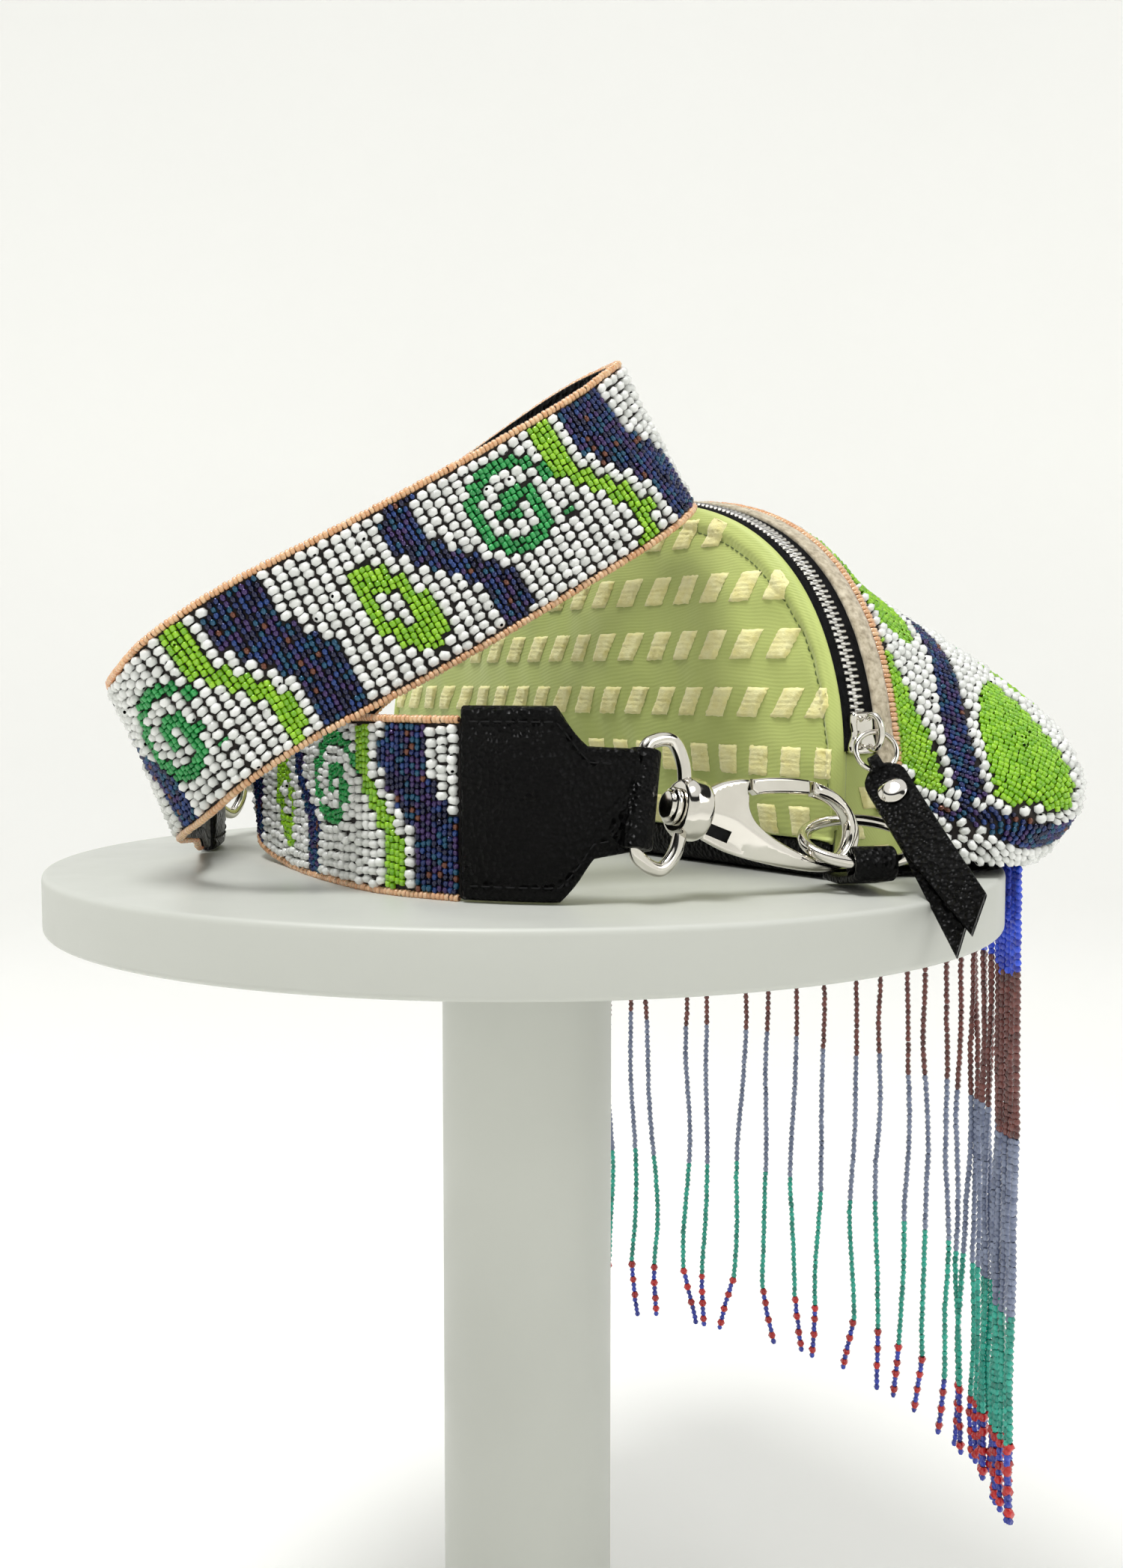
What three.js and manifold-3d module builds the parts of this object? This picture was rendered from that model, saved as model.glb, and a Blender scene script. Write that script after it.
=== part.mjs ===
// Half-moon bag with a beaded front, an arched zip, a bead fringe and a wide beaded strap,
// lying with its strap coiled on a round display stand. Millimetres, +Z up.
// The origin is the centre of the stand's foot, on the floor, and +Y points away from the viewer.
import * as THREE from 'three';
import { mergeVertices } from 'three/addons/utils/BufferGeometryUtils.js';
import Module from 'manifold-3d';

const wasm = await Module();
wasm.setup();

// Clearance between pieces that touch
const GAP = 0.3;

// Stand
const STAND_HEIGHT = 320;
const STAND_RADIUS = 155;
const STAND_THICKNESS = 18;
const STAND_EDGE = 1.2;
const COLUMN_RADIUS = 28.5;
const FOOT_RADIUS = 105;
const FOOT_THICKNESS = 14;

// Where the bag and strap lie on the stand, from its axis
const LAID = { x: -3.7, y: -5 };

// Bag: its length runs from the near corner to the far corner, its depth from the back panel to the front
const BAG_CORNER = { x: 97, y: -66 };
const BAG_TURN = THREE.MathUtils.degToRad(126.9);
const BAG_LENGTH = 254;
const BAG_HEIGHT = 118;
const ARCH_POWER = 3;
const END_TUCK = { inward: 7, below: 60 };
const CORNER_INSET = 5;
const PANEL_WALL = 1.6;
const BEADED_WALL = 3;
const BACK_BOTTOM = 12;
const BASE = { wall: 1.5, floor: 1.9, turnUp: 3.5, turnIn: 4, behindHem: 6.5 };
const BACK_SWELL = 8;
const ZIP_ANGLE = 17;
const EDGE_ANGLE = 9;
const TAPE_DEPTH = { from: 1.9, to: 15.5 };
const TEETH_DEPTH = { from: 5.6, to: 11.6 };
const LINEN_DEPTH = { from: 15.8, to: 21 };
const PIPING_DEPTH = 22.7;
const PIPING_RADIUS = 1.4;
const FRONT_DEPTH = 24.9;
// End gussets: angle on the arch and how deep they reach, wider below the trim
const GUSSET_ROWS = [
  { degrees: 1.6, to: 24 },
  { degrees: 5, to: 24 },
  { degrees: 8.2, to: 24 },
  { degrees: 8.7, to: TAPE_DEPTH.to },
  { degrees: 12.5, to: TAPE_DEPTH.to },
  { degrees: ZIP_ANGLE - 0.2, to: TAPE_DEPTH.to },
];
const TAPE_WALL = 1.2;
const TEETH_HEIGHT = 1.6;
const TEETH_ANGLE = 21.6;
const TEETH_LIFT = 0.2;

// Sections of the beaded front, from the near corner to the middle: the angle of its upper end on the arch,
// its lower end on the hem, and how far the section swells past the hem
const FRONT_SECTIONS = [
  { arch: 9, along: -2, depth: 29, up: 9, swell: 3 },
  { arch: 14, along: -11, depth: 37, up: 5.5, swell: 8 },
  { arch: 20, along: -17, depth: 51, up: 4.7, swell: 13 },
  { arch: 29, along: -13, depth: 70, up: 4.7, swell: 16 },
  { arch: 44, along: 10, depth: 86, up: 4.7, swell: 16 },
  { arch: 66, along: 62, depth: 93, up: 4.7, swell: 15 },
  { arch: 90, along: 127, depth: 95, up: 4.7, swell: 15 },
];

// Handles of each section's curve: out and down from its upper end, out and up from the hem
const SHOULDER = { out: 0.38, drop: 0.36 };
const BELLY = { out: 3, rise: 0.62 };

// Fringe: strands hang from a head along the hem, and those inside the rim run out over it first.
// A thread round the rim holds the hanging lengths together
const STRAND_COUNT = 34;
const STRAND_END = { near: -211, far: -220 };
const STRAND_WIDTH = 2.4;
const STRAND_SHARE = { from: 0.26, to: 0.76, crowding: 1.08 };
const HEAD = { radius: 1.5, behindHem: 3, down: 1.5 };
const OVER_RIM = { clear: 2, low: 1.55, dip: 2.6 };
const RIM_THREAD = { below: 1.2, radius: 0.9 };

// Strap: centre line on the stand's top, from the near tab to the far tab, and how far its width leans
const STRAP_WIDTH = 48.5;
const BAND_WALL = 2.8;
const BACKING_WALL = 1.5;
const STRAP_ROUTE = [
  { x: -11, y: -102.5, up: 24.7, lean: 0 },
  { x: -32, y: -88, up: 24.7, lean: 0 },
  { x: -52, y: -60, up: 24.7, lean: 0 },
  { x: -70, y: -24, up: 25, lean: 0 },
  { x: -86, y: 4, up: 31, lean: 8 },
  { x: -88, y: 26, up: 43, lean: 18 },
  { x: -66, y: 36, up: 66, lean: 28 },
  { x: -31, y: 24, up: 95, lean: 31 },
  { x: 3, y: 6, up: 117, lean: 31 },
  { x: 27, y: -11, up: 130, lean: 31 },
  { x: 39.5, y: -25, up: 133.5, lean: 29 },
  { x: 42, y: -40, up: 131.5, lean: 28 },
  { x: 33.5, y: -54, up: 122.5, lean: 30 },
  { x: 6, y: -66, up: 104.5, lean: 31 },
  { x: -31, y: -81.5, up: 82, lean: 31 },
  { x: -66, y: -88, up: 63, lean: 31 },
  { x: -84, y: -88, up: 51, lean: 31 },
  { x: -95, y: -79, up: 42.5, lean: 31 },
  { x: -105, y: -60, up: 35.5, lean: 24 },
  { x: -105, y: -22, up: 32, lean: 14 },
  { x: -106.2, y: 6, up: 27, lean: 4 },
  { x: -106.7, y: 16.5, up: 26.4, lean: 0 },
];
const STRAP_STEPS = 84;

// Leather ends of the strap: centre line, width and wall from the band to the hook's loop
const TAB_NEAR = [
  { x: -10.6, y: -103.2, up: 26.4, width: 52, wall: 6.4 },
  { x: 2, y: -107, up: 26.4, width: 52, wall: 6.8 },
  { x: 14.5, y: -108.8, up: 26.4, width: 52, wall: 6.4 },
  { x: 23, y: -107.8, up: 26.8, width: 30, wall: 5 },
];
const TAB_FAR = [
  { x: -106.8, y: 18.4, up: 26.4, width: 52, wall: 6.4 },
  { x: -107.3, y: 30, up: 26.4, width: 52, wall: 6.8 },
  { x: -108.8, y: 43, up: 26.4, width: 52, wall: 6.4 },
  { x: -110.4, y: 51.5, up: 26.7, width: 30, wall: 5 },
];
const TAB_FOLD = { width: 21, outer: 4.5, bore: 2.4, wall: 4.4 };

// Snap hooks: a runs along the hook from its swivel, b up and c out of its face
const HOOK_NEAR = {
  place: new THREE.Vector3(53.5, -97, 23.5),
  axis: new THREE.Vector3(0.885, 0.42, -0.205),
  face: new THREE.Vector3(0.34, -0.9, 0.2),
};
const HOOK_FAR = {
  place: new THREE.Vector3(-102.2, 82.4, 24),
  axis: new THREE.Vector3(0.55, 0.835, -0.2),
  face: new THREE.Vector3(0.835, -0.55, 0.1),
};
const HOOK_THICKNESS = 4.4;
const LOOP = { centre: -12.9, halfWidth: 6.6, straight: 10.9, wire: 2 };
const FAR_EYE = { a: 30, b: 1.5, halfLong: 21.5, halfShort: 11.5, wall: 4.4, shank: 3.4 };
const COLLAR = { from: -8.6, to: -0.6, radius: 8.6, bore: 3.1 };
const STUD = { pin: 2.7, head: 5.2, headLength: 2.4 };

// Rings and their leather tabs: corner of the bag, way out of it, reach of the fold, and the ring's lie
const RING = { halfLong: 16, halfShort: 12, wire: 1.7 };
const RING_TAB = { width: 12, top: 4.6, fold: 8.6, bore: 2.8, outer: 4.9 };
const RING_SETS = [
  { end: 'near', corner: [97, -66], way: [0.16, -0.987], start: 0.7, reach: 24.6, lie: [-0.9, 0.43] },
  { end: 'far', corner: [-55.4, 137.2], way: [-0.8, -0.6], start: 0.8, reach: 9.5, lie: [0.9, 0.43] },
];

// Zip slider and its pull
const SLIDER = { degrees: 19, length: 10, width: 8.6, height: 3.4, bail: 3.3, bailWire: 0.8 };
const PULL_RING_WIRE = 0.8;
const PULL_TOP = new THREE.Vector3(105.8, -66.8, 35.5);
const PULL_END = new THREE.Vector3(125, -117.5, -8.5);
const PULL_ACROSS = new THREE.Vector3(0.87, -0.06, 0.49);
const PULL = { width: 12.5, neck: 3.4, wall: 1.7, spread: 4, split: 0.6, inside: 3.7, rivetAt: 14 };
const PULL_EYE = { tip: 1.4, tipOut: 3.2, belly: 4.6, bellyOut: 3.6, closed: 8.6 };
const RIVET = { radius: 4.2, rise: 1.6 };

const COLOURS = {
  white: 0xe9e9e6,
  green: 0x8fa25c,
  beads: 0xe6e6e2,
  linen: 0xbdb09a,
  peach: 0xe2ab86,
  black: 0x141414,
  nickel: 0xd8d5ce,
  blue: 0x2436c8,
};

function finish(colour, roughness, metalness = 0) {
  return new THREE.MeshStandardMaterial({ color: COLOURS[colour], roughness, metalness });
}

function piece(name, geometry, material) {
  const mesh = new THREE.Mesh(geometry, material);
  mesh.name = name;
  return mesh;
}

// Closed surfaces from points

function solidFrom(points, faces) {
  let volume = 0;
  const edge = new THREE.Vector3();
  for (const [i, j, k] of faces) {
    volume += points[i].dot(edge.crossVectors(points[j], points[k]));
  }
  const positions = points.flatMap((point) => point.toArray());
  const index = faces.flatMap(([i, j, k]) => (volume > 0 ? [i, j, k] : [i, k, j]));
  const geometry = new THREE.BufferGeometry();
  geometry.setAttribute('position', new THREE.Float32BufferAttribute(positions, 3));
  geometry.setIndex(index);
  return geometry;
}

// Skins a row of equal loops into one closed body, capped at both ends or joined end to end
function skin(loops, joined = false) {
  const size = loops[0].length;
  const points = loops.flat();
  const faces = [];
  const last = joined ? loops.length : loops.length - 1;
  for (let i = 0; i < last; i += 1) {
    const next = (i + 1) % loops.length;
    for (let j = 0; j < size; j += 1) {
      const k = (j + 1) % size;
      faces.push([i * size + j, next * size + j, next * size + k]);
      faces.push([i * size + j, next * size + k, i * size + k]);
    }
  }
  if (!joined) {
    const far = (loops.length - 1) * size;
    for (let j = 1; j < size - 1; j += 1) {
      faces.push([0, j, j + 1]);
      faces.push([far, far + j + 1, far + j]);
    }
  }
  return solidFrom(points, faces);
}

// Thickens a grid of points into a wall, along its normals to the side that the sign of wall gives
function sheet(grid, wall) {
  const rows = grid.length;
  const columns = grid[0].length;
  const inner = grid.map((row, i) => row.map((point, j) => {
    const alongRow = grid[Math.min(i + 1, rows - 1)][j].clone().sub(grid[Math.max(i - 1, 0)][j]);
    const acrossRow = row[Math.min(j + 1, columns - 1)].clone().sub(row[Math.max(j - 1, 0)]);
    return point.clone().addScaledVector(alongRow.cross(acrossRow).normalize(), wall);
  }));
  const points = [...grid.flat(), ...inner.flat()];
  const offset = rows * columns;
  const at = (i, j) => i * columns + j;
  const faces = [];
  for (let i = 0; i < rows - 1; i += 1) {
    for (let j = 0; j < columns - 1; j += 1) {
      const quad = [at(i, j), at(i + 1, j), at(i + 1, j + 1), at(i, j + 1)];
      faces.push([quad[0], quad[1], quad[2]], [quad[0], quad[2], quad[3]]);
      const under = quad.map((vertex) => vertex + offset);
      faces.push([under[0], under[2], under[1]], [under[0], under[3], under[2]]);
    }
  }
  const border = [];
  for (let i = 0; i < rows - 1; i += 1) border.push(at(i, 0));
  for (let j = 0; j < columns - 1; j += 1) border.push(at(rows - 1, j));
  for (let i = rows - 1; i > 0; i -= 1) border.push(at(i, columns - 1));
  for (let j = columns - 1; j > 0; j -= 1) border.push(at(0, j));
  border.forEach((vertex, i) => {
    const next = border[(i + 1) % border.length];
    faces.push([vertex, vertex + offset, next], [next, vertex + offset, next + offset]);
  });
  return solidFrom(points, faces);
}

// Round wire along points, as a polygon with flat sides
function wire(points, radius, sides) {
  const frames = new THREE.CatmullRomCurve3(points).computeFrenetFrames(points.length - 1);
  const loops = points.map((point, i) => Array.from({ length: sides }, (_, j) => {
    const turn = (2 * Math.PI * (j + 0.5)) / sides;
    return point.clone()
      .addScaledVector(frames.normals[i], radius * Math.cos(turn))
      .addScaledVector(frames.binormals[i], radius * Math.sin(turn));
  }));
  return skin(loops);
}

// Flat strip: each station has its centre, unit vectors across and out, a width and a wall from inner to outer
function strip(stations) {
  const loops = stations.map(({ centre, across, out, width, inner, outer }) => {
    const corner = (side, depth) => centre.clone()
      .addScaledVector(across, side * width / 2)
      .addScaledVector(out, depth);
    return [corner(-1, inner), corner(1, inner), corner(1, outer), corner(-1, outer)];
  });
  return skin(loops);
}

// Joins and cuts

function toSolid(geometry) {
  const bare = geometry.clone();
  bare.deleteAttribute('normal');
  bare.deleteAttribute('uv');
  const merged = mergeVertices(bare, 1e-4);
  return new wasm.Manifold(new wasm.Mesh({
    numProp: 3,
    vertProperties: new Float32Array(merged.attributes.position.array),
    triVerts: new Uint32Array(merged.index.array),
  }));
}

function fromSolid(solid) {
  const mesh = solid.getMesh();
  const geometry = new THREE.BufferGeometry();
  geometry.setAttribute('position', new THREE.BufferAttribute(mesh.vertProperties, 3));
  geometry.setIndex(new THREE.BufferAttribute(mesh.triVerts, 1));
  return geometry;
}

function join(geometries) {
  return fromSolid(geometries.map(toSolid).reduce((whole, next) => whole.add(next)));
}

function cut(geometry, tool) {
  return fromSolid(toSolid(geometry).subtract(toSolid(tool)));
}

// Cylinder along an axis of its own frame, from one place on that axis to another
function rod(axis, from, to, radius, sides) {
  const geometry = new THREE.CylinderGeometry(radius, radius, to - from, sides);
  if (axis === 'x') geometry.rotateZ(-Math.PI / 2);
  if (axis === 'z') geometry.rotateX(Math.PI / 2);
  const middle = (from + to) / 2;
  return geometry.translate(axis === 'x' ? middle : 0, axis === 'y' ? middle : 0, axis === 'z' ? middle : 0);
}

// Stand

function latheUpright(profile, sides) {
  const points = profile.map(([radius, up]) => new THREE.Vector2(radius, up));
  return new THREE.LatheGeometry(points, sides).rotateX(Math.PI / 2);
}

function makeStand() {
  const stand = new THREE.Group();
  const underTop = STAND_HEIGHT - STAND_THICKNESS;
  const paint = () => finish('white', 0.45);
  stand.add(piece('stand_top', latheUpright([
    [0, underTop],
    [STAND_RADIUS - STAND_EDGE, underTop],
    [STAND_RADIUS, underTop + STAND_EDGE],
    [STAND_RADIUS, STAND_HEIGHT - STAND_EDGE],
    [STAND_RADIUS - STAND_EDGE, STAND_HEIGHT],
    [0, STAND_HEIGHT],
  ], 64), paint()));
  stand.add(piece('stand_column', latheUpright([
    [0, FOOT_THICKNESS + GAP],
    [COLUMN_RADIUS, FOOT_THICKNESS + GAP],
    [COLUMN_RADIUS, underTop - GAP],
    [0, underTop - GAP],
  ], 40), paint()));
  stand.add(piece('stand_foot', latheUpright([
    [0, 0],
    [FOOT_RADIUS, 0],
    [FOOT_RADIUS, FOOT_THICKNESS - STAND_EDGE],
    [FOOT_RADIUS - STAND_EDGE, FOOT_THICKNESS],
    [0, FOOT_THICKNESS],
  ], 44), paint()));
  return stand;
}

// Bag, in its own frame: x along its length, -y through its depth, z up

function archPoint(degrees, depth, lift = 0) {
  const angle = THREE.MathUtils.degToRad(degrees);
  const half = BAG_LENGTH / 2 + lift;
  const rise = BAG_HEIGHT + lift;
  const across = Math.abs(Math.cos(angle) / half) ** ARCH_POWER;
  const upward = Math.abs(Math.sin(angle) / rise) ** ARCH_POWER;
  const reach = (across + upward) ** (-1 / ARCH_POWER);
  const up = reach * Math.sin(angle);
  const low = Math.max(0, 1 - up / END_TUCK.below) ** 2;
  const tuck = END_TUCK.inward * low * Math.max(0, 1 - depth / TAPE_DEPTH.to) * Math.sign(Math.cos(angle));
  return new THREE.Vector3(BAG_LENGTH / 2 - reach * Math.cos(angle) + tuck, -depth, up);
}

// Unit vector out of the arch, square to it
function archOut(degrees) {
  const before = archPoint(degrees - 0.5, 0);
  const tangent = archPoint(degrees + 0.5, 0).sub(before).normalize();
  return new THREE.Vector3(-tangent.z, 0, tangent.x);
}

function spread(from, to, steps) {
  return Array.from({ length: steps + 1 }, (_, i) => from + ((to - from) * i) / steps);
}

// Band round the arch between two depths
function archBand(depths, fromDegrees, toDegrees, steps, wall, lift = 0) {
  const grid = spread(fromDegrees, toDegrees, steps).map((degrees) => (
    [depths.from, depths.to].map((depth) => archPoint(degrees, depth, lift))
  ));
  return sheet(grid, wall);
}

function backPanel() {
  const grid = spread(EDGE_ANGLE, 180 - EDGE_ANGLE, 28).map((degrees, i, all) => {
    const share = i / (all.length - 1);
    const top = archPoint(degrees, 0);
    const bottom = new THREE.Vector3(
      THREE.MathUtils.lerp(CORNER_INSET, BAG_LENGTH - CORNER_INSET, share), 0, BACK_BOTTOM);
    return spread(0, 1, 5).map((drop) => {
      const point = top.clone().lerp(bottom, drop);
      point.y = BACK_SWELL * Math.sin(Math.PI * drop) * Math.sin(Math.PI * share);
      return point;
    });
  });
  return sheet(grid, PANEL_WALL);
}

function frontSections() {
  const mirrored = FRONT_SECTIONS.slice(0, -1).reverse().map((section) => ({
    ...section,
    arch: 180 - section.arch,
    along: BAG_LENGTH - section.along,
  }));
  return [...FRONT_SECTIONS, ...mirrored];
}

// Smooth reading of the sections between the rows of the table
function sectionReader() {
  const rows = frontSections();
  const hem = new THREE.CatmullRomCurve3(
    rows.map(({ along, depth, up }) => new THREE.Vector3(along, -depth, up)), false, 'catmullrom', 0.5);
  const upper = new THREE.CatmullRomCurve3(
    rows.map(({ arch, swell }) => new THREE.Vector3(arch, swell, 0)), false, 'catmullrom', 0.5);
  return (share) => {
    const { x: arch, y: swell } = upper.getPoint(share);
    return { edge: archPoint(arch, FRONT_DEPTH), hem: hem.getPoint(share), swell };
  };
}

function frontPanel() {
  const read = sectionReader();
  const grid = spread(0, 1, 38).map((share) => {
    const { edge, hem, swell } = read(share);
    const out = hem.clone().sub(edge).setZ(0).normalize();
    const reach = Math.hypot(hem.x - edge.x, hem.y - edge.y);
    const rise = edge.z - hem.z;
    const shoulder = edge.clone().addScaledVector(out, reach * SHOULDER.out);
    shoulder.z -= rise * SHOULDER.drop;
    const belly = hem.clone().addScaledVector(out, swell * BELLY.out);
    belly.z += rise * BELLY.rise;
    return new THREE.CubicBezierCurve3(edge, shoulder, belly, hem).getPoints(8);
  });
  return sheet(grid, -BEADED_WALL);
}

// Place on the hem, moved inward under the bag and down
function underHem(read, share, inward, down) {
  const { edge, hem } = read(share);
  const out = hem.clone().sub(edge).setZ(0).normalize();
  return hem.clone().addScaledVector(out, -inward).add(new THREE.Vector3(0, 0, -down));
}

function basePanel() {
  const read = sectionReader();
  const grid = spread(0.02, 0.98, 24).map((share, i, all) => {
    const front = underHem(read, share, BASE.behindHem, 0);
    const along = THREE.MathUtils.lerp(CORNER_INSET, BAG_LENGTH - CORNER_INSET, i / (all.length - 1));
    return [
      new THREE.Vector3(along, -BASE.wall, BACK_BOTTOM - GAP),
      new THREE.Vector3(along, -BASE.wall, BASE.turnUp),
      new THREE.Vector3(along, -BASE.turnIn, BASE.floor),
      new THREE.Vector3((along + front.x) / 2, front.y / 2, BASE.floor),
      new THREE.Vector3(front.x, front.y, BASE.floor),
    ];
  });
  return sheet(grid, BASE.wall);
}

function piping() {
  const points = spread(EDGE_ANGLE, 180 - EDGE_ANGLE, 32).map((degrees) => archPoint(degrees, PIPING_DEPTH));
  return wire(points, PIPING_RADIUS, 6);
}

// Strip between the zip's end and the base, wider below the trim
function endGusset(far) {
  const grid = GUSSET_ROWS.map(({ degrees, to }) => (
    [TAPE_DEPTH.from, to].map((depth) => archPoint(far ? 180 - degrees : degrees, depth))
  ));
  return sheet(grid, far ? -PANEL_WALL : PANEL_WALL);
}

// Fringe, in the frame of the stand's top: the head's line, and where each strand leaves it and hangs
function fringePlaces(toStand) {
  const read = sectionReader();
  const headPoint = (share) => underHem(read, share, HEAD.behindHem, HEAD.down).applyMatrix4(toStand);
  const { from, to, crowding } = STRAND_SHARE;
  const head = spread(from - 0.015, to + 0.015, 26).map(headPoint);
  const rim = STAND_RADIUS + OVER_RIM.clear;
  const runEnd = rim - STRAND_WIDTH / 2 - GAP;
  const strands = spread(0, 1, STRAND_COUNT - 1).map((order) => {
    const start = headPoint(from + (to - from) * order ** crowding);
    const radius = Math.hypot(start.x, start.y);
    const outward = start.clone().setZ(0).normalize();
    const at = (distance, up) => outward.clone().multiplyScalar(distance).setZ(up);
    const tip = THREE.MathUtils.lerp(STRAND_END.near, STRAND_END.far, Math.min(1, order * 3));
    const overTop = radius < runEnd - 2 * OVER_RIM.dip;
    const top = overTop ? OVER_RIM.low + STRAND_WIDTH / 2 : start.z - HEAD.radius - GAP;
    return { start, radius, at, tip, top, overTop, runEnd, hang: Math.max(radius, rim) };
  });
  return { head, strands };
}

// Head under the hem, with the strands that run out over the stand's top
function fringeHead({ head, strands }) {
  const { low, dip } = OVER_RIM;
  const runs = strands.filter(({ overTop }) => overTop)
    .map(({ start, radius, at, runEnd }) => strand([start, at(radius + dip, low), at(runEnd, low)]));
  return join([wire(head, HEAD.radius, 5), ...runs]);
}

// Hanging lengths of the strands, with the thread round the rim
function fringeStrands({ strands }) {
  const thread = wire(strands.map(({ at, hang }) => at(hang, -RIM_THREAD.below)), RIM_THREAD.radius, 4);
  const hanging = strands.map(({ at, hang, top, tip }) => strand([at(hang, top), at(hang, tip)]));
  return join([thread, ...hanging]);
}

// One length of a strand as a square strip
function strand(points) {
  const outward = points[0].clone().setZ(0).normalize();
  const side = new THREE.Vector3(-outward.y, outward.x, 0);
  const half = STRAND_WIDTH / 2;
  const loops = points.map((point, i) => {
    const before = points[Math.max(i - 1, 0)];
    const after = points[Math.min(i + 1, points.length - 1)];
    const tangent = after.clone().sub(before).normalize();
    const out = side.clone().cross(tangent).normalize();
    return [[-1, -1], [1, -1], [1, 1], [-1, 1]].map(([u, v]) => point.clone()
      .addScaledVector(side, u * half)
      .addScaledVector(out, v * half));
  });
  return skin(loops);
}

// Frame of the slider on the tape: x along the arch, y through the depth, z out
function sliderMatrix() {
  const out = archOut(SLIDER.degrees);
  const depth = new THREE.Vector3(0, -1, 0);
  const middle = archPoint(SLIDER.degrees, (TEETH_DEPTH.from + TEETH_DEPTH.to) / 2);
  return new THREE.Matrix4().makeBasis(depth.clone().cross(out), depth, out)
    .setPosition(middle.addScaledVector(out, GAP + SLIDER.height / 2));
}

function bailCentre() {
  return new THREE.Vector3(0, 0, SLIDER.height / 2 + SLIDER.bail * 0.95);
}

// Slider with the bail that carries the pull's ring
function zipSlider() {
  const body = new THREE.BoxGeometry(SLIDER.length, SLIDER.width, SLIDER.height);
  const bail = new THREE.TorusGeometry(SLIDER.bail, SLIDER.bailWire, 6, 12)
    .rotateX(Math.PI / 2)
    .translate(...bailCentre().toArray());
  return join([body, bail]).applyMatrix4(sliderMatrix());
}

function makeBag() {
  const bag = new THREE.Group();
  bag.position.set(BAG_CORNER.x, BAG_CORNER.y, 0);
  bag.rotation.z = BAG_TURN;
  const zipEnds = [ZIP_ANGLE, 180 - ZIP_ANGLE];
  bag.add(piece('back_panel', backPanel(), finish('green', 0.75)));
  bag.add(piece('front_panel', frontPanel(), finish('beads', 0.4)));
  bag.add(piece('base_panel', basePanel(), finish('black', 0.6)));
  bag.add(piece('zip_tape', archBand(TAPE_DEPTH, ...zipEnds, 36, TAPE_WALL), finish('black', 0.9)));
  bag.add(piece('zip_teeth', archBand(
    TEETH_DEPTH, TEETH_ANGLE, zipEnds[1], 36, -TEETH_HEIGHT, TEETH_LIFT), finish('nickel', 0.25, 1)));
  bag.add(piece('linen_trim', archBand(
    LINEN_DEPTH, EDGE_ANGLE, 180 - EDGE_ANGLE, 36, PANEL_WALL), finish('linen', 0.95)));
  bag.add(piece('bead_piping', piping(), finish('peach', 0.4)));
  bag.add(piece('end_gusset_near', endGusset(false), finish('green', 0.75)));
  bag.add(piece('end_gusset_far', endGusset(true), finish('green', 0.75)));
  bag.add(piece('zip_slider', zipSlider(), finish('nickel', 0.2, 1)));
  return bag;
}

// Strap

function strapStations() {
  const line = new THREE.CatmullRomCurve3(
    STRAP_ROUTE.map(({ x, y, up }) => new THREE.Vector3(x, y, up)), false, 'centripetal');
  const leans = new THREE.CatmullRomCurve3(
    STRAP_ROUTE.map(({ lean }, i) => new THREE.Vector3(lean, i, 0)), false, 'catmullrom', 0.5);
  return spread(0, 1, STRAP_STEPS).map((share) => {
    const lean = THREE.MathUtils.degToRad(leans.getPoint(share).x);
    const tangent = line.getTangent(share);
    const upward = new THREE.Vector3(-Math.sin(lean), 0, Math.cos(lean));
    const across = upward.addScaledVector(tangent, -upward.dot(tangent)).normalize();
    return { centre: line.getPoint(share), across, out: across.clone().cross(tangent) };
  });
}

function makeStrap() {
  const stations = strapStations();
  const strap = new THREE.Group();
  const band = stations.map((station) => ({ ...station, width: STRAP_WIDTH, inner: 0, outer: BAND_WALL }));
  const backing = stations.map(({ centre, across, out }) => ({
    centre,
    across: across.clone().negate(),
    out,
    width: STRAP_WIDTH,
    inner: -GAP - BACKING_WALL,
    outer: -GAP,
  }));
  strap.add(piece('strap_band', strip(band), finish('beads', 0.4)));
  strap.add(piece('strap_backing', strip(backing), finish('black', 0.6)));
  return strap;
}

// Padded leather end, its neck folded round the straight bar of the hook's loop
function strapTab(rows, hook) {
  const bar = LOOP.centre - LOOP.halfWidth;
  const frame = hookMatrix(hook);
  const barCentre = new THREE.Vector3(bar, 0, 0).applyMatrix4(frame);
  const { width, wall } = TAB_FOLD;
  const stations = [...rows, { x: barCentre.x, y: barCentre.y, up: barCentre.z, width, wall }];
  const centres = stations.map(({ x, y, up }) => new THREE.Vector3(x, y, up));
  const body = strip(stations.map((station, i) => {
    const before = centres[Math.max(i - 1, 0)];
    const tangent = centres[Math.min(i + 1, centres.length - 1)].clone().sub(before).normalize();
    const across = new THREE.Vector3(0, 0, 1).addScaledVector(tangent, -tangent.z).normalize();
    const half = station.wall / 2;
    const out = tangent.clone().cross(across);
    return { ...station, centre: centres[i], across, out, inner: -half, outer: half };
  }));
  const round = (radius, reach) => rod('y', -reach, reach, radius, 16).translate(bar, 0, 0).applyMatrix4(frame);
  return cut(join([body, round(TAB_FOLD.outer, width / 2)]), round(TAB_FOLD.bore, width));
}

// Hook hardware, in the hook's own frame

function hookMatrix({ place, axis, face }) {
  const a = axis.clone().normalize();
  const c = face.clone().addScaledVector(a, -face.dot(a)).normalize();
  return new THREE.Matrix4().makeBasis(a, c.clone().cross(a), c).setPosition(place);
}

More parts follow.
